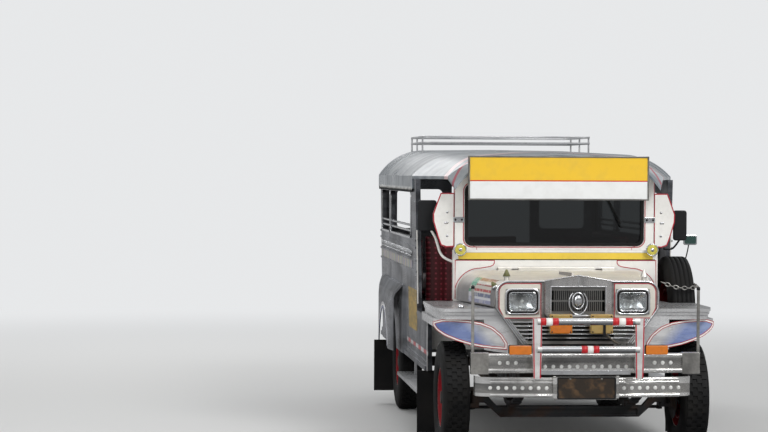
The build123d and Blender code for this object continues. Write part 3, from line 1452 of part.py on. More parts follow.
# A rear fender's outer form: rounded towards both ends in plan, with a sloping shoulder.
def swollen_fender(side, inset):
    base_x = sill_half_width - 5 if inset == 0 else sill_half_width + 3 * sill_step_depth
    outer_x = flare_outer - inset
    front = station(flare_front_station) + inset
    rear = station(flare_rear_station) - inset
    bulge_x = base_x + 0.74 * (outer_x - base_x)
    top = flare_top - inset
    with BuildPart() as block:
        with BuildSketch(Plane.XY.offset(sill_bottom - inset)):
            with BuildLine():
                Line((side * base_x, rear), (side * base_x, front))
                ThreePointArc(
                    (side * base_x, front),
                    (side * bulge_x, front + 0.42 * flare_round_length),
                    (side * outer_x, front + flare_round_length),
                )
                Line((side * outer_x, front + flare_round_length), (side * outer_x, rear - flare_round_length))
                ThreePointArc(
                    (side * outer_x, rear - flare_round_length),
                    (side * bulge_x, rear - 0.42 * flare_round_length),
                    (side * base_x, rear),
                )
            make_face()
        extrude(amount=top - sill_bottom + inset)
        with BuildSketch(Plane.XZ.offset(-front)):
            with BuildLine():
                Polyline(
                    (side * base_x, sill_bottom - inset),
                    (side * outer_x, sill_bottom - inset),
                    (side * outer_x, flare_shoulder - inset),
                    (side * (outer_x - flare_slope_inset), flare_shoulder + flare_slope_height - inset),
                    (side * (outer_x - flare_lip_inset), top),
                    (side * base_x, top),
                    close=True,
                )
            make_face()
        extrude(amount=-(rear - front), mode=Mode.INTERSECT)
    return block.part


fender_skins = [swollen_fender(side, 0) for side in (1, -1)]
fender_hollows = [swollen_fender(side, flare_sheet) for side in (1, -1)]
with BuildPart() as side_walls:
    for side in (1, -1):
        with BuildSketch(Plane.XZ.offset(-station(sill_front_station))):
            with BuildLine():
                add(wall_section(side).line)
            make_face()
        extrude(amount=-(body_rear_station - sill_front_station))
    with Locations((0, station(pillar_station), door_sill_top)):
        Box(3 * body_half_width, 2 * (pillar_station - sill_front_station), 2000, align=(Align.CENTER, Align.MAX, Align.MIN), mode=Mode.SUBTRACT)
    # The left sill is cut down to a tray that carries the spare wheel.
    with Locations((sill_half_width, station(sill_front_station), spare_tray_top)):
        Box(200, pillar_station - sill_front_station, 800, align=(Align.CENTER, Align.MIN, Align.MIN), mode=Mode.SUBTRACT)
    with Locations((spare_x - spare_well_half, station(sill_front_station), sill_bottom)):
        Box(sill_half_width - spare_x + spare_well_half - 4, pillar_station - sill_front_station, spare_tray_top - sill_bottom, align=Align.MIN)
    window_mid_z = (window_bottom + window_top) / 2
    window_height = window_top - window_bottom
    for front, rear in ((window_front_station, window_post_station), (window_post_station + window_post, window_rear_station)):
        with BuildSketch(Plane.YZ):
            with Locations((station((front + rear) / 2), window_mid_z)):
                RectangleRounded(rear - front, window_height, window_corner)
        extrude(amount=2 * body_half_width, both=True, mode=Mode.SUBTRACT)
    # Rear fenders: swollen sheet outside the wall, hollow behind
    add(fender_skins)
    add(fender_hollows, mode=Mode.SUBTRACT)
    with Locations((0, rear_axle_y, tyre_radius)):
        Cylinder(rear_arch_radius, 3 * body_half_width, rotation=(0, 90, 0), mode=Mode.SUBTRACT)
save(side_walls.part, "side_walls")

with BuildPart() as rear_wall:
    rear_face_y = station(body_rear_station)
    inner_half = sill_half_width - wall - seat_gap
    rear_wall_bottom = rail_bottom + rail_height + seat_gap
    with BuildSketch(Plane.XZ.offset(-rear_face_y)):
        with BuildLine():
            Polyline(
                (-inner_half, rear_wall_bottom),
                (inner_half, rear_wall_bottom),
                (inner_half + 6, door_sill_top),
                (body_half_width - wall - seat_gap, drip_height),
                (body_half_width - wall - seat_gap, roof_rear_crown),
                (-body_half_width + wall + seat_gap, roof_rear_crown),
                (-body_half_width + wall + seat_gap, drip_height),
                (-inner_half - 6, door_sill_top),
                close=True,
            )
        make_face()
        with Locations((0, rear_wall_bottom)):
            Rectangle(2 * entry_half_width, entry_top - rear_wall_bottom, align=(Align.CENTER, Align.MIN), mode=Mode.SUBTRACT)
        for side in (1, -1):
            with Locations((side * (entry_half_width + inner_half) / 2, window_mid_z)):
                RectangleRounded(inner_half - entry_half_width - 2 * rear_window_margin, window_height, window_corner, mode=Mode.SUBTRACT)
    extrude(amount=wall)
    add(under_roof, mode=Mode.INTERSECT)
save(rear_wall.part, "rear_wall")

# The roof is one sheet with a drooping visor at the front, and a valance along each side.
with BuildPart() as roof:
    for row in roof_rows:
        place, half, drip = row[:3]
        with BuildSketch(Plane.XZ.offset(-station(place))):
            with BuildLine():
                add(roof_curve(row, seat_gap))
                add(roof_curve(row, roof_sheet))
                for side in (1, -1):
                    Line((side * half, drip + seat_gap), (side * half, drip + roof_sheet))
            make_face()
    loft(ruled=True)
    for side in (1, -1):
        with Locations((side * roof_half_width, station(roof_full_station), drip_height + 6)):
            valance_align = Align.MAX if side > 0 else Align.MIN
            Box(valance_depth - 4, roof_rear_station - roof_full_station, valance_height, align=(valance_align, Align.MIN, Align.MAX))
save(roof.part, "roof")

with BuildPart() as sign_board:
    with Locations((0, station(sign_station), (sign_bottom + sign_top) / 2)):
        Box(2 * sign_half_width, sign_thickness, sign_top - sign_bottom, align=(Align.CENTER, Align.MIN, Align.CENTER))
    for side in (1, -1):
        with Locations((side * (sign_half_width - sign_stay_inset), station(sign_station) + sign_thickness, drip_height - 20)):
            Box(sign_stay_width, station(screen_station) - seat_gap - station(sign_station) - sign_thickness, sign_stay_sheet, align=(Align.CENTER, Align.MIN, Align.CENTER))
save(sign_board.part, "sign_board")

with BuildPart() as roof_rack:
    rack_front_y = station(rack_front_station)
    rack_rear_y = station(rack_rear_station)
    for height in (rack_lower, rack_upper):
        with BuildSketch(Plane.XY.offset(height - rack_tube)):
            with Locations((0, (rack_front_y + rack_rear_y) / 2)):
                rack_length = rack_rear_y - rack_front_y
                RectangleRounded(2 * (rack_half_width + rack_tube), rack_length + 2 * rack_tube, rack_corner + rack_tube)
                RectangleRounded(2 * (rack_half_width - rack_tube), rack_length - 2 * rack_tube, rack_corner - rack_tube, mode=Mode.SUBTRACT)
        extrude(amount=2 * rack_tube)
    fillet(roof_rack.edges().group_by(Axis.Z)[0] + roof_rack.edges().group_by(Axis.Z)[-1], rack_tube * 0.6)
    for side in (1, -1):
        for place in (rack_front_station + rack_post_inset, (rack_front_station + rack_rear_station) / 2, rack_rear_station - rack_post_inset):
            with Locations((side * rack_half_width, station(place), drip_height)):
                Cylinder(rack_post, rack_upper - drip_height, align=(Align.CENTER, Align.CENTER, Align.MIN))
    add(roof_space(roof_sheet + seat_gap), mode=Mode.SUBTRACT)
save(roof_rack.part, "roof_rack")

# Front seats: one for the driver, a wider one for two passengers, each on a closed box.
front_seat_rows = (
    # side, inner X, outer X
    (1, 150, 650),
    (-1, 190, 870),
)
with BuildPart() as seat_bases:
    for side, inner_x, outer_x in front_seat_rows:
        base_length = seat_back_station - seat_front_station
        with Locations((side * (inner_x + outer_x) / 2, station(seat_front_station) + base_length / 2, floor_top + seat_gap)):
            Box(outer_x - inner_x - 2 * seat_base_inset, base_length, seat_base_top - floor_top - seat_gap, align=(Align.CENTER, Align.CENTER, Align.MIN))
save(seat_bases.part, "seat_bases")

with BuildPart() as front_seats:
    for side, inner_x, outer_x in front_seat_rows:
        seat_mid_x = side * (inner_x + outer_x) / 2
        with Locations((seat_mid_x, station(seat_front_station) - 20, seat_base_top + seat_gap)):
            Box(outer_x - inner_x, seat_back_station - seat_front_station + 20 - seat_gap, seat_cushion_height, align=(Align.CENTER, Align.MIN, Align.MIN))
        with Locations((seat_mid_x, station(seat_back_station), seat_base_top - 60)):
            Box(outer_x - inner_x, seat_back_thickness, seat_back_top - seat_base_top + 60, align=(Align.CENTER, Align.MIN, Align.MIN))
save(front_seats.part, "front_seats")

with BuildPart() as bench_seats:
    for side in (1, -1):
        bench_align = Align.MIN if side > 0 else Align.MAX
        back_align = Align.MAX if side > 0 else Align.MIN
        bench_mid_y = station((bench_front_station + bench_rear_station) / 2)
        bench_length = bench_rear_station - bench_front_station
        with Locations((side * (bench_inner_x - 15), bench_mid_y, bench_top + seat_gap)):
            Box(floor_half - bench_inner_x, bench_length, cushion_height, align=(bench_align, Align.CENTER, Align.MIN))
        with Locations((side * (wall_inner_x(back_bottom) - seat_gap), bench_mid_y, back_bottom)):
            Box(back_thickness, bench_length, back_top - back_bottom, align=(back_align, Align.CENTER, Align.MIN))
save(bench_seats.part, "bench_seats")

# Boarding steps: one along each side and one across the rear.
with BuildPart() as steps:
    for side in (1, -1):
        step_mid_x = side * (side_step_outer + side_step_inner) / 2
        step_length = side_step_rear_station - side_step_front_station
        with Locations((step_mid_x, station((side_step_front_station + side_step_rear_station) / 2), side_step_top)):
            Box(side_step_outer - side_step_inner, step_length, side_step_thickness, align=(Align.CENTER, Align.CENTER, Align.MAX))
        for place in (side_step_front_station + 300, side_step_rear_station - 300):
            with Locations((step_mid_x - side * 50, station(place), side_step_top - 4)):
                Box(16, 40, sill_bottom - seat_gap - side_step_top + 4, align=(Align.CENTER, Align.CENTER, Align.MIN))
    rail_end_y = station(rail_rear_station + rail_overhang)
    with Locations((0, station(rear_step_rear_station), rear_step_top)):
        Box(2 * rear_step_half, station(rear_step_rear_station) - rail_end_y - 5, rear_step_height, align=(Align.CENTER, Align.MAX, Align.MAX))
    for side in (1, -1):
        with Locations((side * rail_half_spacing, rail_end_y + 5, rail_bottom - seat_gap)):
            Box(rail_width, 200, rail_bottom - rear_step_top + rear_step_height, align=(Align.CENTER, Align.MAX, Align.MAX))
save(steps.part, "steps")

with BuildPart() as mudflaps:
    flaps = (
        # station, inner X, outer X, bottom Z
        (front_flap_station, front_flap_inner, front_flap_inner + flap_width, front_flap_bottom),
        (rear_flap_station, rear_flap_inner, rear_flap_inner + flap_width - 10, rear_flap_bottom),
    )
    for place, inner_x, outer_x, bottom in flaps:
        for side in (1, -1):
            with Locations((side * (inner_x + outer_x) / 2, station(place), bottom)):
                Box(outer_x - inner_x, flap_thickness, sill_bottom - seat_gap - bottom, align=(Align.CENTER, Align.CENTER, Align.MIN))
save(mudflaps.part, "mudflaps")
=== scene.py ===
import math
import bpy
import bmesh
from mathutils import Matrix, Vector
from mathutils.bvhtree import BVHTree


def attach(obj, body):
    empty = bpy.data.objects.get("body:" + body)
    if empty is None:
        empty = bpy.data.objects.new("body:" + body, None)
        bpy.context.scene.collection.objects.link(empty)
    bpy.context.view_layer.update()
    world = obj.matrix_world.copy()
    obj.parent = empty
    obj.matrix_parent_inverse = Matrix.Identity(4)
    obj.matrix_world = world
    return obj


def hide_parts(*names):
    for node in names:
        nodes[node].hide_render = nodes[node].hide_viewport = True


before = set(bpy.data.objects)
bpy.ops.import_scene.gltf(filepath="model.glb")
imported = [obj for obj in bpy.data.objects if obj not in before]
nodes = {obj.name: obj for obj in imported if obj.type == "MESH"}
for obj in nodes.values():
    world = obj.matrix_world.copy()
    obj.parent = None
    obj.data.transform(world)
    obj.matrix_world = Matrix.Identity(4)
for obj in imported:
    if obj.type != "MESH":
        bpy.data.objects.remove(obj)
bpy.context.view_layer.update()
print("frame loaded")

noseY = -2.26  # face of the lamp panel; stations are metres behind it
bothSides = ((1, "Left"), (-1, "Right"))


def station(distance):
    return noseY + distance


# Nodes shared by the world, the materials and the shape trees
def addNode(tree, kind, values=None, **settings):  # a value is a number, a vector or a socket to link
    node = tree.nodes.new(kind)
    for label, value in settings.items():
        setattr(node, label, value)
    for label, value in (values or {}).items():
        if isinstance(value, bpy.types.NodeSocket):
            tree.links.new(value, node.inputs[label])
        else:
            node.inputs[label].default_value = value
    return node


def reckon(tree, operation, *values):
    return addNode(tree, "ShaderNodeMath", dict(enumerate(values)), operation=operation).outputs[0]


def between(tree, factor, first, second):  # colour mix; either side is a socket or a colour
    first, second = ((*side, 1) if isinstance(side, tuple) else side for side in (first, second))
    return addNode(tree, "ShaderNodeMix", {0: factor, 6: first, 7: second}, data_type="RGBA").outputs[2]


def ranged(tree, value, low, high, fromLow=0.0, fromHigh=1.0):
    values = {"Value": value, "From Min": fromLow, "From Max": fromHigh, "To Min": low, "To Max": high}
    return addNode(tree, "ShaderNodeMapRange", values).outputs["Result"]


def objectPlace(tree, scale=(1, 1, 1), shift=(0, 0, 0)):
    place = addNode(tree, "ShaderNodeTexCoord").outputs["Object"]
    values = {"Vector": place, "Scale": scale, "Location": shift}
    return addNode(tree, "ShaderNodeMapping", values).outputs["Vector"]


def split(tree, vector=None):  # X, Y and Z of a vector, or else of the object's own coordinates
    vector = objectPlace(tree) if vector is None else vector
    return addNode(tree, "ShaderNodeSeparateXYZ", {0: vector}).outputs


def combined(tree, **values):
    return addNode(tree, "ShaderNodeCombineXYZ", values).outputs["Vector"]


def cloud(tree, scale, stretch=(1, 1, 1), low=0.35, high=0.65, detail=5):
    values = {"Scale": scale, "Detail": detail, "Vector": objectPlace(tree, stretch)}
    return ranged(tree, addNode(tree, "ShaderNodeTexNoise", values).outputs["Fac"], 0, 1, low, high)


def shaded(tree, value, stops, interpolation="LINEAR"):  # stops: (position, colour)
    ramp = addNode(tree, "ShaderNodeValToRGB", {"Fac": value})
    ramp.color_ramp.interpolation = interpolation
    elements = ramp.color_ramp.elements
    while len(elements) < len(stops):
        elements.new(1.0)
    for element, (position, colour) in zip(elements, stops):
        element.position = position
        element.color = (*colour, 1)
    return ramp.outputs["Color"]


def paint(code):  # sRGB hex to linear
    parts = [int(code[i:i + 2], 16) / 255 for i in (0, 2, 4)]
    return tuple(p / 12.92 if p <= 0.04045 else ((p + 0.055) / 1.055) ** 2.4 for p in parts)


def startMaterial(name, code, roughness, metallic=0.0, **sockets):
    material = bpy.data.materials.new(name)
    material.use_nodes = True
    shader = material.node_tree.nodes["Principled BSDF"]
    shader.inputs["Base Color"].default_value = (*paint(code), 1)
    shader.inputs["Roughness"].default_value = roughness
    shader.inputs["Metallic"].default_value = metallic
    for label, value in sockets.items():
        shader.inputs[label.replace("_", " ")].default_value = value
    return material, material.node_tree


def complete(material, colour=None, rough=None, normal=None):
    tree = material.node_tree
    for label, socket in (("Base Color", colour), ("Roughness", rough), ("Normal", normal)):
        if socket is not None:
            tree.links.new(socket, tree.nodes["Principled BSDF"].inputs[label])
    return material


def addObject(name, data):
    thing = bpy.data.objects.new(name, data)
    bpy.context.scene.collection.objects.link(thing)
    return thing


# Camera, world, lamps and floor
view = {
    "place": (-2.6449, -18.6849, 1.9379), "yaw": -0.081, "pitch": -0.0186, "roll": 0.0045,
    "lens": 115.48, "sensor": 36, "farthest": 500,
    "backdrop": (0.80, 0.81, 0.82),
    "mirrored": (
        # height of the ray, grey that polished metal sees there
        (0.0, 0.42), (0.06, 0.36), (0.14, 0.10), (0.24, 0.12), (0.33, 0.60), (0.60, 1.0), (1.0, 0.8),
    ),
    "skyOnPaint": 0.62,  # strength of the sky for diffuse light
    "floorColour": (0.70, 0.70, 0.69), "floorRoughness": 0.7, "floorRadius": 70, "floorCorners": 64,
    "floorMirrored": (0.20, 0.20, 0.205),  # what polished metal sees of the floor, near and far
    "farMirrored": (0.42, 0.42, 0.43),
    "fade": (4.0, 16.0),  # metres over which the floor turns into the backdrop
    "lamps": (
        # name, place, aimed at, width, watts
        ("keyLamp", (4.5, -9.0, 8.0), (0, -1, 1.0), 4.0, 620),
        ("fillLamp", (-8.0, -7.0, 5.0), (0, 0, 1.0), 5.0, 200),
        ("backLamp", (-3.0, 9.0, 7.0), (0, 0, 1.0), 5.0, 260),
    ),
}


def aimCamera():
    yaw, pitch, roll = view["yaw"], view["pitch"], view["roll"]
    ahead = Vector((-math.sin(yaw) * math.cos(pitch), math.cos(yaw) * math.cos(pitch), math.sin(pitch)))
    level = Vector((math.cos(yaw), math.sin(yaw), 0))
    above = level.cross(ahead)
    right = level * math.cos(roll) + above * math.sin(roll)
    up = above * math.cos(roll) - level * math.sin(roll)
    data = bpy.data.cameras.new("camera")
    data.lens = view["lens"]
    data.sensor_width = view["sensor"]
    data.clip_end = view["farthest"]
    camera = addObject("camera", data)
    turn = Matrix((right, up, -ahead)).transposed().to_4x4()
    camera.matrix_world = Matrix.Translation(view["place"]) @ turn
    bpy.context.scene.camera = camera


def lightScene():
    world = bpy.data.worlds.new("studio")
    bpy.context.scene.world = world
    world.use_nodes = True
    tree = world.node_tree
    plain = tree.nodes["Background"]
    plain.inputs["Color"].default_value = (*view["backdrop"], 1)
    height = split(tree, addNode(tree, "ShaderNodeTexCoord").outputs["Generated"])["Z"]
    greys = [(position, (grey, grey * 1.01, grey * 1.03)) for position, grey in view["mirrored"]]
    mirrored = addNode(tree, "ShaderNodeBackground", {"Color": shaded(tree, height, greys)})
    rays = addNode(tree, "ShaderNodeLightPath").outputs
    seen = reckon(tree, "MAXIMUM", rays["Is Camera Ray"], rays["Is Transmission Ray"])
    tree.links.new(ranged(tree, seen, view["skyOnPaint"], 1.0), plain.inputs["Strength"])
    mixed = {0: rays["Is Glossy Ray"], 1: plain.outputs[0], 2: mirrored.outputs[0]}
    mixer = addNode(tree, "ShaderNodeMixShader", mixed)
    tree.links.new(mixer.outputs[0], tree.nodes["World Output"].inputs["Surface"])
    for name, spot, target, width, watts in view["lamps"]:
        data = bpy.data.lights.new(name, "AREA")
        data.energy = watts
        data.size = width
        lamp = addObject(name, data)
        lamp.location = spot
        lamp.rotation_euler = (Vector(target) - Vector(spot)).to_track_quat("-Z", "Y").to_euler()


def layFloor():
    mesh = bpy.data.meshes.new("studioFloor")
    reach, count = view["floorRadius"], view["floorCorners"]
    turns = [math.tau * i / count for i in range(count)]
    corners = [(reach * math.cos(a), reach * math.sin(a), 0) for a in turns]
    mesh.from_pydata(corners, [], [tuple(range(count))])
    floor = addObject("studioFloor", mesh)
    material, tree = startMaterial("studioFloor", "ffffff", view["floorRoughness"])
    glossy = addNode(tree, "ShaderNodeLightPath").outputs["Is Glossy Ray"]
    complete(material, between(tree, glossy, view["floorColour"], view["floorMirrored"]))
    far = between(tree, glossy, view["backdrop"], view["farMirrored"])
    glow = addNode(tree, "ShaderNodeEmission", {"Color": far})
    place = addNode(tree, "ShaderNodeTexCoord").outputs["Object"]
    length = addNode(tree, "ShaderNodeVectorMath", {0: place}, operation="LENGTH").outputs["Value"]
    span = {"Value": length, "From Min": view["fade"][0], "From Max": view["fade"][1]}
    fade = addNode(tree, "ShaderNodeMapRange", span, interpolation_type="SMOOTHSTEP").outputs["Result"]
    mixed = {0: fade, 1: tree.nodes["Principled BSDF"].outputs[0], 2: glow.outputs[0]}
    mixer = addNode(tree, "ShaderNodeMixShader", mixed)
    tree.links.new(mixer.outputs[0], tree.nodes["Material Output"].inputs["Surface"])
    mesh.materials.append(material)


aimCamera()
lightScene()
layFloor()
bpy.context.scene.view_settings.view_transform = "Standard"
print("camera, lamps and floor placed")


# Materials
def overlaid(tree, share, amount, colour, code):  # a second colour over the colour where the share is high: a stain, and in the brushed metals also painted shade and reflection
    return between(tree, ranged(tree, share, 0, amount), colour, paint(code))


def bumped(tree, height, strength, distance, under=None):
    values = {"Height": height, "Strength": strength, "Distance": distance}
    if under is not None:
        values["Normal"] = under
    return addNode(tree, "ShaderNodeBump", values).outputs["Normal"]


def waved(tree, scale, axis):
    values = {"Vector": objectPlace(tree), "Scale": scale, "Distortion": 0.0}
    return addNode(tree, "ShaderNodeTexWave", values, bands_direction=axis).outputs["Fac"]


def bandStops(tree, value, stops):  # stops: (position, colour code), each holding up to the next
    return shaded(tree, value, [(position, paint(code)) for position, code in stops], "CONSTANT")


def enamel(name, code, dirt="8a8578", dirtAmount=0.35, roughness=0.32, coat=0.3):
    material, tree = startMaterial(name, code, roughness, Coat_Weight=coat, Coat_Roughness=0.12)
    grime = cloud(tree, 2.3, low=0.45, high=0.85)
    faded = overlaid(tree, cloud(tree, 38, low=0.5, high=0.8), 0.12, paint(code), dirt)
    rough = ranged(tree, grime, roughness, roughness + 0.25)
    normal = bumped(tree, cloud(tree, 90, detail=2), 0.12, 0.002)
    return complete(material, overlaid(tree, grime, dirtAmount, faded, dirt), rough, normal)


rolls = (
    # low Z, high Z of the bumpers' rolled edges, which get a painted highlight
    (0.440, 0.470), (0.533, 0.576), (0.608, 0.636), (0.709, 0.740),
)


# painted highlight: the rolled edges are lightened to near white, in patches
def paintRollHighlights(tree, colour):
    height, total = split(tree)["Z"], 0.0
    for low, high in rolls:
        inside = reckon(tree, "COMPARE", height, (low + high) / 2, (high - low) / 2)
        total = reckon(tree, "ADD", total, inside)
    patches = ranged(tree, cloud(tree, 7, (1, 1, 0.2), low=0.3, high=0.6), 0.35, 0.95)
    return between(tree, reckon(tree, "MULTIPLY", patches, total), colour, paint("fbfaf7"))


def brushed(name, code, darker, stretch, roughness, scratch=60, patch=1.7, streak=0.55, warp=0.35,
            metallic=0.85, rollHighlights=False, flank=0.0, ledge=0.0):
    material, tree = startMaterial(name, code, roughness, metallic)
    grain = cloud(tree, scratch, stretch, low=0.3, high=0.7, detail=6)
    smudgeAndReflection = cloud(tree, patch, low=0.38, high=0.72)
    flow = tuple(0.5 if s == 1 else 4.5 for s in stretch)
    facing = split(tree, addNode(tree, "ShaderNodeTexCoord").outputs["Normal"])
    marksAndPaintedLight = (
        # where it shows, amount, colour
        # soft darker patches: smudges, and partly a painted reflection
        (smudgeAndReflection, 0.7, darker),
        (grain, 0.3, darker),
        # painted reflection: warped dark streaks
        (cloud(tree, 2.6, flow, low=0.46, high=0.60, detail=4), streak, "35373a"),
        (cloud(tree, 21, low=0.55, high=0.8), 0.18, "6d675c"),
        # painted shade: darker where the face points down
        (ranged(tree, facing["Z"], 1, 0, -0.7, 0.15), 0.75, "232425"),
    )
    colour = paint(code)
    for share, amount, stain in marksAndPaintedLight:
        colour = overlaid(tree, share, amount, colour, stain)
    if flank:  # painted shade: purple-grey where it faces sideways
        share = ranged(tree, reckon(tree, "ABSOLUTE", facing["X"]), 0, flank, 0.45, 0.98)
        colour = between(tree, share, colour, paint("55525a"))
    if ledge:  # painted shade: darker where it faces straight up
        colour = between(tree, ranged(tree, facing["Z"], 0, ledge, 0.8, 0.99), colour, paint("4b4c50"))
    # painted highlight along the bumpers' rolled edges
    if rollHighlights:
        colour = paintRollHighlights(tree, colour)
    worn = ranged(tree, smudgeAndReflection, roughness, roughness + 0.14)
    rough = reckon(tree, "ADD", ranged(tree, grain, 0, 0.1), worn)
    dents = bumped(tree, cloud(tree, 5.5, low=0.2, high=0.8, detail=1), warp, 0.02)
    return complete(material, colour, rough, bumped(tree, grain, 0.1, 0.001, dents))


def castIron(name, code, rust="4a3426"):
    material, tree = startMaterial(name, code, 0.7, 0.4)
    crust = cloud(tree, 9, low=0.45, high=0.7)
    colour, rough = overlaid(tree, crust, 0.6, paint(code), rust), ranged(tree, crust, 0.5, 0.9)
    return complete(material, colour, rough, bumped(tree, cloud(tree, 120), 0.4, 0.003))


def rubber(name, code, dust="57534c", amount=0.35):
    material, tree = startMaterial(name, code, 0.72, Specular_IOR_Level=0.22)
    dusty = cloud(tree, 6, low=0.4, high=0.75)
    colour, rough = overlaid(tree, dusty, amount, paint(code), dust), ranged(tree, dusty, 0.6, 0.85)
    return complete(material, colour, rough, bumped(tree, cloud(tree, 210, detail=3), 0.25, 0.001))


def glassy(name, code, roughness, film):
    material, tree = startMaterial(name, code, roughness, Transmission_Weight=1.0, IOR=1.45)
    haze = cloud(tree, 5, low=0.4, high=0.8)
    return complete(material, rough=ranged(tree, haze, roughness, roughness + film))


def flutedLens(name, code):  # upright flutes crossed by a few rows
    material, tree = startMaterial(name, code, 0.02, Transmission_Weight=1.0, IOR=1.4)
    flutes = reckon(tree, "ADD", waved(tree, 22.0, "X"), waved(tree, 9.0, "Z"))
    rough = ranged(tree, cloud(tree, 14, low=0.4, high=0.8), 0.02, 0.08)
    return complete(material, rough=rough, normal=bumped(tree, flutes, 0.25, 0.001))


def lensPlastic(name, code, glow, flute=150):
    sockets = {"Coat_Weight": 0.6, "Coat_Roughness": 0.05, "Subsurface_Weight": 0.12}
    material, tree = startMaterial(name, code, 0.18, **sockets)
    wave = waved(tree, flute, "X")
    colour = between(tree, ranged(tree, wave, 0.1, 0.8), paint(code), paint(glow))
    colour = overlaid(tree, cloud(tree, 30, low=0.5, high=0.85), 0.3, colour, "4d3420")
    return complete(material, colour, normal=bumped(tree, wave, 0.5, 0.002))


def roofSheet(name):  # streaky bluish grey, with a pink and crimson band round the front corner
    material, tree = startMaterial(name, "8f969b", 0.3, Coat_Weight=0.25, Coat_Roughness=0.2)
    streaks = cloud(tree, 2.2, (1.0, 3.2, 1.0), low=0.40, high=0.64, detail=6)
    blotch = cloud(tree, 0.9, low=0.42, high=0.62)
    colour = overlaid(tree, blotch, 0.55, between(tree, streaks, paint("a9afb3"), paint("6a747c")), "5b5f63")
    axes = split(tree)
    slant = reckon(tree, "ADD", reckon(tree, "ABSOLUTE", axes["X"]), reckon(tree, "MULTIPLY", axes["Y"], 0.9))
    stops = [(0.0, "000000"), (0.135, "a02038"), (0.165, "000000"), (0.25, "d9b7b6"), (0.33, "000000")]
    bands = bandStops(tree, ranged(tree, slant, 0, 1, -0.6, 0.4), stops)
    colour = between(tree, ranged(tree, split(tree, bands)["X"], 0, 0.8, 0.02, 0.06), colour, bands)
    colour = overlaid(tree, cloud(tree, 16, low=0.5, high=0.8), 0.4, colour, "55524c")
    normal = bumped(tree, cloud(tree, 6, detail=2), 0.25, 0.01)
    return complete(material, colour, ranged(tree, blotch, 0.25, 0.5), normal)


def axisBands(name, axis, low, high, stops, dirt=0.25):
    material, tree = startMaterial(name, stops[0][1], 0.35, Coat_Weight=0.2)
    share = [((place - low) / (high - low), code) for place, code in stops]
    colour = bandStops(tree, ranged(tree, split(tree)[axis], 0, 1, low, high), share)
    grime = cloud(tree, 14, low=0.45, high=0.8)
    rough = ranged(tree, grime, 0.35, 0.55)
    normal = bumped(tree, cloud(tree, 120, detail=2), 0.1, 0.001)
    return complete(material, overlaid(tree, grime, dirt, colour, "77715f"), rough, normal)


def ringBands(name, centre, stops, reach):  # rings about an axle
    material, tree = startMaterial(name, stops[0][1], 0.4)
    shifted = objectPlace(tree, shift=tuple(-c for c in centre))
    flat = addNode(tree, "ShaderNodeVectorMath", {0: shifted, 1: (0, 1, 1)}, operation="MULTIPLY").outputs[0]
    length = addNode(tree, "ShaderNodeVectorMath", {0: flat}, operation="LENGTH").outputs["Value"]
    colour = bandStops(tree, ranged(tree, length, 0, 1, 0, reach), [(r / reach, code) for r, code in stops])
    mud = cloud(tree, 11, low=0.4, high=0.8)
    normal = bumped(tree, cloud(tree, 160, detail=3), 0.2, 0.001)
    return complete(material, overlaid(tree, mud, 0.45, colour, "4c463b"), ranged(tree, mud, 0.4, 0.8), normal)


def dottedVinyl(name, code, dot):
    material, tree = startMaterial(name, code, 0.45, Sheen_Weight=0.2)
    axes, spacing = split(tree), 0.038
    flat = combined(tree, X=reckon(tree, "ADD", axes["X"], axes["Y"]), Y=axes["Z"])
    values = {"Vector": flat, "Scale": 1 / spacing, "Randomness": 0.0}
    cells = addNode(tree, "ShaderNodeTexVoronoi", values, voronoi_dimensions="2D").outputs["Distance"]
    cloth = overlaid(tree, cloud(tree, 8, low=0.4, high=0.8), 0.4, paint(code), "2c0a12")
    colour = overlaid(tree, reckon(tree, "LESS_THAN", cells, 0.2), 0.8, cloth, dot)
    return complete(material, colour, normal=bumped(tree, cloud(tree, 260, detail=2), 0.35, 0.001))


def treadPlate(name, code):
    material, tree = startMaterial(name, code, 0.5, 0.6)
    values = {"Vector": objectPlace(tree, (1, 0.5, 1)), "Scale": 55.0, "Randomness": 0.0}
    checks = addNode(tree, "ShaderNodeTexVoronoi", values, distance="MANHATTAN").outputs["Distance"]
    colour = overlaid(tree, cloud(tree, 4, low=0.4, high=0.75), 0.7, paint(code), "3d372e")
    return complete(material, colour, normal=bumped(tree, ranged(tree, checks, 1, 0, 0.1, 0.4), 0.6, 0.002))


def blotchedBands(name, colourOf, low, high, detail, amount, stain):  # bands broken up by a fine cloud
    material, tree = startMaterial(name, "c8c2b8", 0.3, Coat_Weight=0.4)
    blotch = cloud(tree, 30, low=low, high=high, detail=detail)
    return complete(material, overlaid(tree, blotch, amount, colourOf(tree), stain))


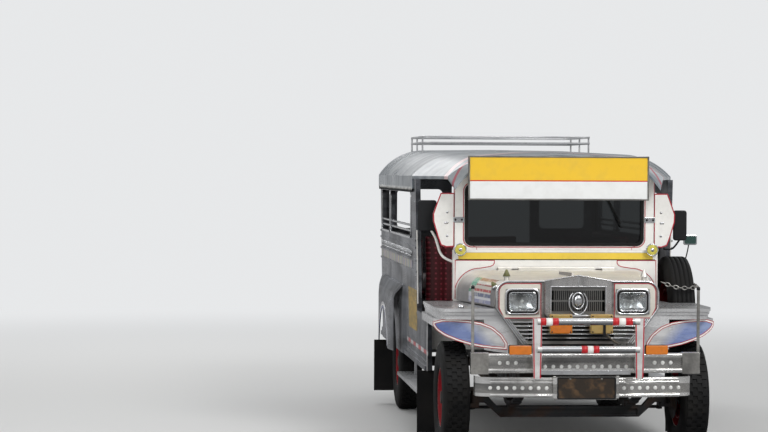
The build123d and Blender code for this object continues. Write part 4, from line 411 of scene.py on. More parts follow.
# how the brushed grain is stretched
across, lengthwise, upright, even = (20, 1, 1), (1, 12, 1), (1, 1, 20), (1, 1, 1)
finish = {
    "stainless": brushed("stainlessSteel", "ededee", "a3a5aa", upright, 0.2, streak=0.35, metallic=0.6),
    "wingSteel": brushed("wingSteel", "ffffff", "c2c2c4", upright, 0.2, streak=0.25, metallic=0.5,
                         ledge=0.55),
    "hoodSteel": brushed("hoodSteel", "fffcf5", "e2ddd3", lengthwise, 0.26, patch=3, streak=0.10,
                         metallic=0.35, flank=0.75),
    "noseSteel": brushed("noseSteel", "d2d0cb", "77736f", upright, 0.2, patch=5),
    "shellSteel": brushed("shellSteel", "e6e4e1", "8f8d8e", across, 0.15, patch=4, streak=0.3, metallic=0.75),
    # painted shade: a darker copy of the stainless for the side and rear walls, which stand in shadow
    "sideSteel": brushed("sideSteel", "9a9da3", "4a4d52", upright, 0.22, patch=2.4, streak=0.6,
                         metallic=0.95),
    "hammeredSteel": brushed("hammeredSteel", "c2bfb9", "5d5b59", even, 0.3, patch=11, streak=0.4, warp=1.0,
                             metallic=0.65),
    "dullSteel": brushed("dullSteel", "b3b1ac", "57534c", (1, 1, 18), 0.34, patch=6, streak=0.4),
    "bumperSteel": brushed("bumperSteel", "dcdad5", "6a6765", (1, 1, 14), 0.15, patch=4.5, rollHighlights=True),
    "barSteel": brushed("barSteel", "a09f9b", "4f4e4d", across, 0.3, streak=0.15),
    "chrome": brushed("polishedChrome", "f2f3f4", "c4c6c8", (1, 1, 4), 0.07, scratch=30, streak=0.12,
                      warp=0.1, metallic=0.9),
    "reflector": brushed("lampReflector", "ffffff", "d8dadb", even, 0.16, streak=0.0, warp=0.15),
    "postPaint": brushed("postSteel", "fbfaf8", "c9c7c2", upright, 0.16, streak=0.2, metallic=0.3),
    "darkSlats": brushed("slatSteel", "3f3f40", "1d1d1e", across, 0.3, streak=0.3),
    "mirrorGreen": brushed("mirrorGreen", "5f7f78", "33504b", even, 0.08, streak=0.2, warp=0.05),
    "rivetSteel": enamel("rivetSteel", "dededb", "6c6a66", 0.2, 0.2, coat=0.6),
    "whitePaint": enamel("whiteEnamel", "f1efea", dirtAmount=0.2),
    "creamPaint": enamel("creamEnamel", "d9d4c9", dirtAmount=0.45, roughness=0.25),
    "redPaint": enamel("redLining", "b3122c", "5a2020", 0.3),
    "tapeRed": enamel("tapeRed", "c40f1b", "5a2020", 0.2),
    "yellowPaint": enamel("yellowEnamel", "eccb45", "8a7427", 0.25),
    "tankPaint": enamel("tankPaint", "2c2e30", "4c463c", 0.7, 0.5),
    "bluePaint": enamel("blueLining", "3c4f8c", "40454f", 0.4),
    "olivePaint": enamel("olivePaint", "77774a", "4b4830", 0.5, 0.5),
    "roofPaint": roofSheet("roofSheet"),
    "frameBlack": castIron("frameBlack", "232425"),
    "engineIron": castIron("engineIron", "4a4c4b"),
    "exhaustSteel": castIron("exhaustSteel", "5a5148", "6e4a2c"),
    "blackRubber": rubber("tyreRubber", "0d0d0e", "3a3732", 0.25),
    "flapRubber": rubber("flapRubber", "121213", "34312d", 0.4),
    "sealRubber": rubber("sealRubber", "101011", amount=0.15),
    "darkPlastic": rubber("darkPlastic", "1b1c1e", "3b3a37", 0.2),
    "windowGlass": glassy("windowGlass", "373b3c", 0.02, 0.03),
    "clearLens": flutedLens("clearLens", "f4f7f8"),
    "amberLens": lensPlastic("amberLens", "c95f08", "ec8f1e"),
    "redLens": lensPlastic("redLens", "7d1418", "b3262a"),
    "yellowLens": lensPlastic("yellowLens", "c9b43a", "e9dd6e", 90),
    "tanLens": lensPlastic("tanLens", "9c7f45", "c9ab66", 70),
    "maroonVinyl": dottedVinyl("maroonVinyl", "5a0a14", "a83a4a"),
    "floorPlate": treadPlate("floorPlate", "7c7e7f"),
    "signFace": axisBands("signFace", "Z", 1.70, 2.06, [
        (1.70, "e8e9e8"), (1.862, "cf2a22"), (1.871, "ecc02c")], dirt=0.12),
}
print("materials mixed:", len(finish))


# Mesh builders. Those that take a material dress their piece as well.
building = {"weld": 0.00002, "bevelAngle": 35, "bevelSegments": 2, "curveSteps": 10}
usualSlot = {
    # every finish that isn't named here goes to "stainless"
    "amberLens": "amber_lens", "redLens": "amber_lens", "yellowLens": "amber_lens", "tanLens": "amber_lens",
    "blackRubber": "black_rubber", "clearLens": "clear_lens", "reflector": "clear_lens",
    "darkPlastic": "dark_plastic", "darkSlats": "dark_plastic", "sealRubber": "dark_plastic",
    "plateBlank": "dark_plastic", "maroonVinyl": "maroon_cover",
    "redPaint": "red_rim", "tapeRed": "red_rim", "sideTape": "red_rim",
    "creamPaint": "white_paint", "whitePaint": "white_paint", "yellowPaint": "white_paint",
    "beltPanels": "white_paint", "yellowPanel": "white_paint",
}


def dress(piece, material, body="body", slot=None, bevel=0.0, replaces=()):
    if not piece.data.materials:
        piece.data.materials.append(finish[material])
    if bevel:
        edge = piece.modifiers.new("bevel", "BEVEL")
        edge.width = bevel
        edge.segments = building["bevelSegments"]
        edge.limit_method = "ANGLE"
        edge.angle_limit = math.radians(building["bevelAngle"])
    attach(piece, body)
    slot = slot or usualSlot.get(material, "stainless")
    if replaces:
        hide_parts(*replaces)
    return piece


def addPiece(name, points, faces, smooth=False):
    mesh = bpy.data.meshes.new(name)
    mesh.from_pydata([tuple(p) for p in points], [], faces)
    work = bmesh.new()
    work.from_mesh(mesh)
    bmesh.ops.remove_doubles(work, verts=work.verts, dist=building["weld"])
    bmesh.ops.recalc_face_normals(work, faces=work.faces)
    work.to_mesh(mesh)
    work.free()
    if smooth:
        mesh.shade_smooth()
    return addObject(name, mesh)


def joined(name, pieces):
    points, faces, flags = [], [], []
    for piece in pieces:
        base, mesh = len(points), piece.data
        points += [vertex.co.copy() for vertex in mesh.vertices]
        faces += [tuple(base + i for i in face.vertices) for face in mesh.polygons]
        flags += [face.use_smooth for face in mesh.polygons]
        bpy.data.objects.remove(piece)
        bpy.data.meshes.remove(mesh)
    mesh = bpy.data.meshes.new(name)
    mesh.from_pydata(points, [], faces)
    for face, flag in zip(mesh.polygons, flags):
        face.use_smooth = flag
    return addObject(name, mesh)


def mirrored(spots, side):
    return [(side * x, *rest) for x, *rest in spots]


def rectangle(left, right, low, high):
    return [(left, low), (right, low), (right, high), (left, high)]


def roundedBox(midA, midB, width, height, radius, steps=5):
    corners = []
    for signA, signB, start in ((1, 1, 0), (-1, 1, 90), (-1, -1, 180), (1, -1, 270)):
        for step in range(steps + 1):
            angle = math.radians(start + 90 * step / steps)
            cornerA = midA + signA * (width / 2 - radius) + radius * math.cos(angle)
            corners.append((cornerA, midB + signB * (height / 2 - radius) + radius * math.sin(angle)))
    return corners


def spokes(outline, midA, midB):  # the outline's points at even angles about a middle
    points, count, slack = [], 96, 1e-6
    for step in range(count):
        angle = math.tau * step / count
        a, b = math.cos(angle), math.sin(angle)
        reach = 0.0
        for (a1, b1), (a2, b2) in zip(outline, outline[1:] + outline[:1]):
            crossing = a * (b2 - b1) - b * (a2 - a1)
            if abs(crossing) > 1e-9:
                far = ((a1 - midA) * (b2 - b1) - (b1 - midB) * (a2 - a1)) / crossing
                share = ((a1 - midA) * b - (b1 - midB) * a) / crossing
                if -slack <= share <= 1 + slack and far > reach:
                    reach = far
        points.append((midA + reach * a, midB + reach * b))
    return points


def sheetFaces(columns, rows):  # faces of a thin closed sheet: two grids of points and the rim between them
    line = rows + 1
    sheet = (columns + 1) * line
    corners = [base + c * line + r for base in (0, sheet) for c in range(columns) for r in range(rows)]
    rim = [c * line for c in range(columns + 1)] + [columns * line + r for r in range(1, line)]
    rim += [c * line + rows for c in range(columns - 1, -1, -1)] + [r for r in range(rows - 1, 0, -1)]
    sides = [(a, b, sheet + b, sheet + a) for a, b in zip(rim, rim[1:] + rim[:1])]
    return [(a, a + 1, a + line + 1, a + line) for a in corners] + sides


def loopFaces(rows, count, base=0):  # faces between closed loops of points, and one that fills the last loop
    faces = []
    for first in range(base, base + (rows - 1) * count, count):
        for i in range(count):
            j = (i + 1) % count
            faces.append((first + i, first + j, first + count + j, first + count + i))
    return faces + [tuple(base + (rows - 1) * count + i for i in range(count))]


def plate(name, outline, low, high, material, **more):  # an outline in X and Z, between two Y
    count = len(outline)
    points = [(x, y, z) for y in (low, high) for x, z in outline]
    faces = [tuple(range(count)), tuple(range(2 * count - 1, count - 1, -1))]
    faces += [(i, (i + 1) % count, count + (i + 1) % count, count + i) for i in range(count)]
    return dress(addPiece(name, points, faces), material, **more)


def platePair(name, x, z, width, height, corner, low, high, material, **more):
    for side, tag in bothSides:
        plate(name + tag, roundedBox(side * x, z, width, height, corner), low, high, material, **more)


def ring(name, outer, inner, low, high, material, plane="XZ", **more):
    count = len(outer)
    flat = [(a, b, depth) for depth in (low, high) for loop in (outer, inner) for a, b in loop]
    points = [(a, depth, b) if plane == "XZ" else (depth, a, b) for a, b, depth in flat]
    faces = []
    for i in range(count):
        j = (i + 1) % count
        faces += [(base + i, base + j, base + count + j, base + count + i) for base in (0, 2 * count)]
        faces += [(base + i, base + j, 2 * count + base + j, 2 * count + base + i) for base in (0, count)]
    return dress(addPiece(name, points, faces), material, **more)


def lathe(name, profile, centre, axis, segments, closed=False):  # profile: (radius, place along the axis)
    points, faces, count = [], [], len(profile)
    for turn in range(segments):
        angle = math.tau * turn / segments
        for radius, along in profile:
            a, b = radius * math.cos(angle), radius * math.sin(angle)
            local = {"X": (along, a, b), "Y": (a, along, b), "Z": (a, b, along)}[axis]
            points.append(tuple(centre[i] + local[i] for i in range(3)))
        ahead = (turn + 1) % segments
        for i in range(count if closed else count - 1):
            j = (i + 1) % count
            faces.append((turn * count + i, turn * count + j, ahead * count + j, ahead * count + i))
    return addPiece(name, points, faces, True)


def ribbon(name, path, normals, width, lift, material, closed=False, **more):  # a raised strip along a path
    count = len(path)
    points, faces = [], []
    for i in range(count):
        before = path[i - 1] if i or closed else None
        after = path[(i + 1) % count] if i < count - 1 or closed else None
        first = (path[i] - before).normalized() if before is not None else (after - path[i]).normalized()
        second = (after - path[i]).normalized() if after is not None else first
        along = (first + second).normalized()
        side = along.cross(normals[i]).normalized() * width / 2 / max(0.4, along.dot(first))
        raised = normals[i] * lift
        points += [path[i] - side, path[i] + side, path[i] + side + raised, path[i] - side + raised]
    for i in range(count if closed else count - 1):
        j = (i + 1) % count
        for corner in range(4):
            ahead = (corner + 1) % 4
            faces.append((4 * i + corner, 4 * i + ahead, 4 * j + ahead, 4 * j + corner))
    if not closed:
        faces += [(0, 1, 2, 3), (4 * count - 4, 4 * count - 3, 4 * count - 2, 4 * count - 1)]
    return dress(addPiece(name, points, faces), material, **more)


def faceStripe(name, corners, y, width, closed=False, lift=0.0012):
    path = [Vector((x, y, z)) for x, z in corners]
    return ribbon(name, path, [Vector((0, -1, 0))] * len(path), width, lift, "redPaint", closed)


def stripePair(name, corners, y, width, **more):
    for side, tag in bothSides:
        faceStripe(name % tag, mirrored(corners, side), y, width, **more)


def wirePath(name, path, smoothPath):
    curve = bpy.data.curves.new(name, "CURVE")
    curve.dimensions = "3D"
    spline = curve.splines.new("NURBS" if smoothPath else "POLY")
    spline.points.add(len(path) - 1)
    for point, spot in zip(spline.points, path):
        point.co = (*spot, 1)
    if smoothPath:
        spline.order_u = 3
        spline.use_endpoint_u = True
    return addObject(name, curve)


def evaluated(name, holder, smooth=True):  # what a curve or a tree makes, as a mesh of its own
    bpy.context.view_layer.update()
    mesh = bpy.data.meshes.new_from_object(holder.evaluated_get(bpy.context.evaluated_depsgraph_get()))
    data = holder.data
    bpy.data.objects.remove(holder)
    (bpy.data.meshes if isinstance(data, bpy.types.Mesh) else bpy.data.curves).remove(data)
    for face in mesh.polygons:
        face.use_smooth = smooth
    return addObject(name, mesh)


def tube(name, path, radius, material, smoothPath=False, sides=3):
    holder = wirePath(name + "Path", path, smoothPath)
    holder.data.bevel_depth = radius
    holder.data.bevel_resolution = sides
    holder.data.use_fill_caps = True
    holder.data.resolution_u = building["curveSteps"]
    return dress(evaluated(name, holder), material)


# Geometry Nodes trees end in Realize Instances and Set Material.
def startTree(name, inputs):
    tree = bpy.data.node_groups.new(name, "GeometryNodeTree")
    for way in ("INPUT", "OUTPUT"):
        tree.interface.new_socket("Geometry", in_out=way, socket_type="NodeSocketGeometry")
    kinds = {int: "NodeSocketInt", float: "NodeSocketFloat", tuple: "NodeSocketVector"}
    for label, value in inputs.items():
        socket = tree.interface.new_socket(label, in_out="INPUT", socket_type=kinds[type(value)])
        socket.default_value = value
    tree.interface.new_socket("Material", in_out="INPUT", socket_type="NodeSocketMaterial")
    return tree, tree.nodes.new("NodeGroupInput").outputs


def endTree(tree, given, geometry):
    real = addNode(tree, "GeometryNodeRealizeInstances", {0: geometry})
    values = {"Geometry": real.outputs[0], "Material": given["Material"]}
    coat = addNode(tree, "GeometryNodeSetMaterial", values)
    addNode(tree, "NodeGroupOutput", {0: coat.outputs[0]})
    return tree


def altered(tree, geometry, **values):
    return addNode(tree, "GeometryNodeTransform", {"Geometry": geometry, **values}).outputs["Geometry"]


def scattered(tree, points, shape, **values):
    values = {"Points": points, "Instance": shape, **values}
    return addNode(tree, "GeometryNodeInstanceOnPoints", values).outputs["Instances"]


def swept(tree, curve, wire, **values):  # a curve given a round section
    hoop = addNode(tree, "GeometryNodeCurvePrimitiveCircle", {"Resolution": 6, "Radius": wire})
    values = {"Curve": curve, "Profile Curve": hoop.outputs["Curve"], **values}
    return addNode(tree, "GeometryNodeCurveToMesh", values).outputs["Mesh"]


def domeTree():
    tree, given = startTree("domes", {"Radius": 0.009, "Flatness": (1.0, 0.55, 1.0)})
    values = {"Segments": 14, "Rings": 8, "Radius": given["Radius"]}
    ball = addNode(tree, "GeometryNodeMeshUVSphere", values).outputs["Mesh"]
    shape = altered(tree, ball, Scale=given["Flatness"])
    return endTree(tree, given, scattered(tree, given["Geometry"], shape))


def studTree():
    tree, given = startTree("studs", {"Sides": 6, "Radius": 0.01, "Length": 0.02, "Turn": (0.0, 0.0, 0.0)})
    values = {"Vertices": given["Sides"], "Radius": given["Radius"], "Depth": given["Length"]}
    stud = addNode(tree, "GeometryNodeMeshCylinder", values).outputs["Mesh"]
    shape = altered(tree, stud, Rotation=given["Turn"])
    return endTree(tree, given, scattered(tree, given["Geometry"], shape))


def chainTree():
    tree, given = startTree("chain", {"Pitch": 0.026, "Link Width": 0.012, "Wire": 0.0035})
    values = {"Curve": given["Geometry"], "Length": given["Pitch"]}
    runs = addNode(tree, "GeometryNodeResampleCurve", values, mode="LENGTH").outputs["Curve"]
    values = {"Resolution": 14, "Radius": given["Link Width"]}
    loop = addNode(tree, "GeometryNodeCurvePrimitiveCircle", values).outputs["Curve"]
    link = swept(tree, altered(tree, loop, Scale=(1.6, 1.0, 1.0)), given["Wire"])
    tangent = addNode(tree, "GeometryNodeInputTangent").outputs["Tangent"]
    aim = addNode(tree, "FunctionNodeAlignRotationToVector", {"Vector": tangent}, axis="X")
    index = addNode(tree, "GeometryNodeInputIndex").outputs["Index"]
    twist = combined(tree, X=reckon(tree, "MULTIPLY", index, math.pi / 2))
    links = scattered(tree, runs, link, Rotation=aim.outputs["Rotation"])
    values = {"Instances": links, "Rotation": twist}
    return endTree(tree, given, addNode(tree, "GeometryNodeRotateInstances", values).outputs["Instances"])


def treadTree():  # blocks round a tyre, in two rows set half a block apart, and shoulder lugs
    inputs = {"Count": 40, "Radius": 0.377, "Block": (0.018, 0.036, 0.034), "Spread": 0.05,
              "Centre": (0.0, 0.0, 0.0)}
    tree, given = startTree("tread", inputs)
    values = {"Vertices": given["Count"], "Radius": given["Radius"]}
    hoop = addNode(tree, "GeometryNodeMeshCircle", values).outputs["Mesh"]
    block = addNode(tree, "GeometryNodeMeshCube", {"Size": given["Block"]}).outputs["Mesh"]
    index = addNode(tree, "GeometryNodeInputIndex").outputs["Index"]
    step = reckon(tree, "DIVIDE", math.tau, given["Count"])
    turn = combined(tree, Z=reckon(tree, "MULTIPLY", index, step))
    spread = scattered(tree, hoop, block, Rotation=turn)
    rows = addNode(tree, "GeometryNodeJoinGeometry")
    for offset, shift in ((-1.0, 0.0), (-0.33, 0.5), (0.33, 0.0), (1.0, 0.5)):
        lift = combined(tree, Z=reckon(tree, "MULTIPLY", given["Spread"], offset))
        spin = combined(tree, Z=reckon(tree, "MULTIPLY", step, shift))
        tree.links.new(altered(tree, spread, Translation=lift, Rotation=spin), rows.inputs["Geometry"])
    stand = altered(tree, rows.outputs["Geometry"], Rotation=(0, math.pi / 2, 0))
    return endTree(tree, given, altered(tree, stand, Translation=given["Centre"]))


def scrollTree():  # a run of wire spirals, every other one upside down
    tree, given = startTree("scrolls", {"Radius": 0.026, "Turns": 1.6, "Wire": 0.003, "Side": 1.0})
    values = {"Resolution": 18, "Start Radius": 0.004, "Height": 0.0, "End Radius": given["Radius"],
              "Rotations": given["Turns"]}
    spiral = addNode(tree, "GeometryNodeCurveSpiral", values).outputs["Curve"]
    scroll = swept(tree, spiral, given["Wire"], **{"Fill Caps": True})
    index = addNode(tree, "GeometryNodeInputIndex").outputs["Index"]
    half = reckon(tree, "MULTIPLY", index, math.pi)
    turn = combined(tree, X=half, Y=reckon(tree, "MULTIPLY", given["Side"], math.pi / 2))
    return endTree(tree, given, scattered(tree, given["Geometry"], scroll, Rotation=turn))


def grow(name, tree, base, values, material, smooth=True):
    modifier = base.modifiers.new(name, "NODES")
    modifier.node_group = tree
    sockets = {item.name: item.identifier for item in tree.interface.items_tree if item.in_out == "INPUT"}
    for label, value in values.items():
        modifier[sockets[label]] = value
    modifier[sockets["Material"]] = finish[material]
    return evaluated(name, base, smooth)


def dotBase(spots):  # bare points for a tree to put shapes on
    mesh = bpy.data.meshes.new("dots")
    mesh.from_pydata([tuple(spot) for spot in spots], [], [])
    return addObject("dots", mesh)


def addDomes(name, spots, radius, material, flatness=(1.0, 0.55, 1.0), **more):
    values = {"Radius": radius, "Flatness": flatness}
    return dress(grow(name, domes, dotBase(spots), values, material), material, **more)


def addStuds(name, spots, radius, length, sides, material, *more):
    values = {"Sides": sides, "Radius": radius, "Length": length, "Turn": (0.0, math.pi / 2, 0.0)}
    return dress(grow(name, studs, dotBase(spots), values, material, smooth=False), material, *more)


domes, studs, chainLinks, tread, scrolls = domeTree(), studTree(), chainTree(), treadTree(), scrollTree()
print("trees grown")


# Wheels and tyres
wheels = {
    "tyreRadius": 0.385, "carcassRadius": 0.3775, "wearFrom": 0.345, "segments": 96,
    "blockCount": 42, "blockSeat": 0.3755,
    "places": {
        # node ending: (body, X, Y, Z, outward)
        "front_left": ("wheel_front_left", 0.815, -1.925, 0.385, 1),
        "front_right": ("wheel_front_right", -0.815, -1.925, 0.385, -1),
        "rear_left": ("wheel_rear_left", 0.830, 1.275, 0.385, 1),
        "rear_right": ("wheel_rear_right", -0.830, 1.275, 0.385, -1),
        "spare": ("body", 0.883, -1.125, 0.940, 1),
    },
    "profile": (
        # radius, offset from the middle
        (0.2035, -0.0745), (0.2035, -0.079), (0.212, -0.0835), (0.232, -0.0885), (0.262, -0.0935),
        (0.292, -0.0948), (0.322, -0.0925), (0.345, -0.0885), (0.362, -0.0835), (0.3725, -0.0765),
        (0.3765, -0.064), (0.3775, -0.04), (0.3775, 0.0),
    ),
    "crownHalf": 0.058, "grooves": (-0.048, -0.016, 0.016, 0.048),  # round the worn spare
    "groove": ((0.0, -0.0045), (0.006, -0.003), (0.006, 0.003), (0.0, 0.0045)),  # depth, offset
    "rings": [(0.0, "191919"), (0.072, "8e1320"), (0.186, "9c1524"), (0.2, "dedad1")], "ringReach": 0.24,
    "nutCircle": 0.105, "nutCount": 6, "nutOut": 0.034, "nut": (0.013, 0.034, 6),  # radius, length, sides
}


def wornLoop():  # section of the spare tyre: a nearly smooth crown with shallow grooves
    radius, start = wheels["tyreRadius"], wheels["wearFrom"]
    share = (radius - wheels["carcassRadius"]) / (wheels["carcassRadius"] - start)
    half = [(reach + share * max(0, reach - start), along) for reach, along in wheels["profile"][:-2]]
    crown = [(radius - depth, middle + shift)
             for middle in wheels["grooves"] for depth, shift in wheels["groove"]]
    crown = [(radius, -wheels["crownHalf"]), *crown, (radius, wheels["crownHalf"])]
    return half + crown + [(reach, -along) for reach, along in reversed(half)]


def buildWheels():
    half, segments, circle = list(wheels["profile"]), wheels["segments"], wheels["nutCircle"]
    loop = half + [(radius, -along) for radius, along in reversed(half[:-1])]
    turns = [math.tau * i / wheels["nutCount"] for i in range(wheels["nutCount"])]
    for name, (body, x, y, z, outward) in wheels["places"].items():
        paintRings = ringBands("wheelPaint_" + name, (x, y, z), wheels["rings"], wheels["ringReach"])
        for holder in nodes["rim_" + name].material_slots:
            holder.material = paintRings
        if name == "spare":
            tyre = lathe("tyre_dressed_spare", wornLoop(), (x, y, z), "X", segments, closed=True)
        else:
            carcass = lathe("tyre_" + name, loop, (x, y, z), "X", segments, closed=True)
            values = {"Count": wheels["blockCount"], "Centre": (x, y, z), "Radius": wheels["blockSeat"]}
            blocks = grow("tread_" + name, tread, dotBase([(x, y, z)]), values, "blackRubber", smooth=False)
            blocks.data.materials.clear()
            tyre = joined("tyre_dressed_" + name, [carcass, blocks])
            out = x + outward * wheels["nutOut"]
            spots = [(out, y + circle * math.cos(a), z + circle * math.sin(a)) for a in turns]
            addStuds("wheelNuts_" + name, spots, *wheels["nut"], "dullSteel", body, "frame_black")
        dress(tyre, "blackRubber", body, replaces=["tyre_" + name])


buildWheels()
print("wheels done")


# Nose: lamps, lining, grille boss
nose = {
    "lampX": 0.375, "lampZ": 1.058, "lampWidth": 0.200, "lampHeight": 0.142, "lampSteps": 8,
    "lampRings": (
        # part, outer loop's growth and corner, inner loop's, front, back, material, bevel
        ("Bezel", 0.040, 0.044, 0.008, 0.032, -2.2720, -2.2585, "chrome", 0.006),
        ("Seal", 0.009, 0.032, -0.012, 0.026, -2.2755, -2.255, "sealRubber", 0.003),
        ("Rim", -0.013, 0.026, -0.022, 0.022, -2.2778, -2.262, "chrome", 0.002),
    ),
    # the bowl is a round reflector that runs out to the lamp's own outline
    "bowlShares": (1.0, 0.94, 0.84, 0.68, 0.48, 0.26, 0.13), "roundBelow": 0.75, "bowlInset": 0.024,
    "bowlFront": -2.264, "bowlDepth": 0.058, "bowlWall": 0.0015,
    "bulb": ((0.0, -2.247), (0.006, -2.2465), (0.011, -2.243), (0.013, -2.236), (0.012, -2.224),
             (0.009, -2.214), (0.0, -2.212)),
    "lensShares": (1.0, 0.97, 0.85, 0.6, 0.3), "lensInset": 0.0225, "lensCorner": 0.022, "lensFront": -2.2665,
    "lensDome": 0.0085, "lensThick": 0.003,
    "liningWidth": 0.005, "liningInner": 0.250, "liningOuter": 0.533, "liningTop": 1.180,
    "liningBottom": 0.948, "liningKnee": (0.500, 1.014), "topCorner": 0.055,
    "half": 0.553, "footHalf": 0.373, "foot": 0.772, "shoulder": 1.013, "top": 1.197, "corner": 0.085,
    "rimInset": 0.003,
    "louvreFirst": 0.8005, "louvrePitch": 0.027, "louvreCount": 5, "louvreHeight": 0.016, "taper": 0.747,
    "lipHalf": 0.333, "lipRise": 0.003, "lipRadius": 0.0042,
    "beadY": -2.262, "beadRadius": 0.0065, "beadStep": 0.015, "taperRadius": 0.0055, "taperRise": 0.004,
    "taperRun": 0.127, "taperTop": 0.942,
    "panelInset": 0.003, "panelY": (-2.2614, -2.2598), "holeGrowth": 0.03, "holeCorner": 0.04,
    "liningY": -2.2602, "liningLift": 0.002,
    "wires": (
        # name, radius, path: the pediment's ridge and its eaves
        ("shellRidge", 0.003, ((0.0, -2.2945, 1.235), (0.0, -2.2945, 1.160))),
        ("shellEaves", 0.004, ((-0.228, -2.2945, 1.199), (0.0, -2.2945, 1.236), (0.228, -2.2945, 1.199))),
    ),
    "lipOuter": (-0.190, 0.190, 0.963, 1.164), "lipInner": (-0.183, 0.183, 0.970, 1.157),
    "lipY": (-2.2965, -2.290),
    "bossZ": 1.0635, "bossRing": (0.046, 0.006), "bossShape": (0.86, 1.18), "domeShape": (0.8, 1.25),
    "dome": ((0.0, -0.012), (0.012, -0.0112), (0.022, -0.0085), (0.03, -0.004), (0.033, 0.0),
             (0.033, 0.006), (0.0, 0.006)),
    "loopHalf": (0.062, 0.080), "loopDrop": 0.012,
}


def lampAt(side, tag):
    x, z, steps = side * nose["lampX"], nose["lampZ"], nose["lampSteps"]
    w, h = nose["lampWidth"], nose["lampHeight"]
    for part, outer, outerCorner, inner, innerCorner, front, back, coat, bevel in nose["lampRings"]:
        loops = [roundedBox(x, z, w + growth, h + growth, corner, steps)
                 for growth, corner in ((outer, outerCorner), (inner, innerCorner))]
        ring("headlamp" + part + tag, *loops, front, back, coat, bevel=bevel)
    points, count, inset = [], 4 * (steps + 1), nose["bowlInset"]
    for share in nose["bowlShares"]:
        isRound = share < nose["roundBelow"]
        width = (w - inset) * share
        height = min(h - inset, width) if isRound else (h - inset) * (0.6 + 0.4 * share)
        corner = min(width, height) / 2 * (0.98 if isRound else 0.4)
        depth = nose["bowlFront"] + nose["bowlDepth"] * (1 - share ** 2)
        points += [(a, depth, b) for a, b in roundedBox(x, z, width, height, corner, steps)]
    bowl = addPiece("headlampBowl" + tag, points, loopFaces(len(nose["bowlShares"]), count), smooth=True)
    wall = bowl.modifiers.new("wall", "SOLIDIFY")
    wall.thickness = nose["bowlWall"]
    wall.offset = 0
    dress(bowl, "reflector")
    dress(lathe("headlampBulb" + tag, nose["bulb"], (x, 0, z), "Y", 24), "whitePaint", slot="clear_lens")
    # lens: a domed pane with the same corners
    points, inset, rows = [], nose["lensInset"], len(nose["lensShares"])
    for front in (0.0, nose["lensThick"]):
        for share in nose["lensShares"]:
            corner = nose["lensCorner"] * share
            loop = roundedBox(x, z, (w - inset) * share, (h - inset) * share, corner, steps)
            depth = nose["lensFront"] - nose["lensDome"] * (1 - share ** 2) ** 0.5 + front
            points += [(a, depth, b) for a, b in loop]
    size = rows * count
    faces = loopFaces(rows, count) + loopFaces(rows, count, size)
    faces += [(i, (i + 1) % count, size + (i + 1) % count, size + i) for i in range(count)]
    dress(addPiece("headlampLens" + tag, points, faces, smooth=True), "clearLens", replaces=["headlamps"])


def turned(half, top, corner, steps):  # round the top outer corner, up to the top edge
    turns = [math.radians(90 * step / steps) for step in range(1, steps + 1)]
    return [(half - corner + corner * math.cos(a), top - corner + corner * math.sin(a)) for a in turns]


def noseOutline(inset):  # outline of one lamp panel
    inner, outer = nose["liningInner"] + inset, nose["liningOuter"] - inset
    top, bottom = nose["liningTop"] - inset, nose["liningBottom"] + inset
    (kneeX, kneeZ), corner = nose["liningKnee"], nose["topCorner"]
    foot = [(inner, bottom), (kneeX - 0.6 * inset, bottom), (outer, kneeZ + 0.4 * inset)]
    return foot + [(outer, top - corner)] + turned(outer, top, corner, 7) + [(inner, top)]


def noseRim():  # the nose panel's front edge, from one foot over the top to the other
    half, top, corner = (nose[label] - nose["rimInset"] for label in ("half", "top", "corner"))
    line = [(nose["footHalf"], nose["foot"]), (half, nose["shoulder"]), (half, top - corner)]
    line += turned(half, top, corner, 9)
    return line + [(-x, z) for x, z in reversed(line)]


def stretched(piece, shape):  # about the boss's middle
    middle = Matrix.Translation((0, 0, nose["bossZ"]))
    piece.data.transform(middle @ Matrix.Diagonal((shape[0], 1, shape[1], 1)) @ middle.inverted())
    dress(piece, "chrome")


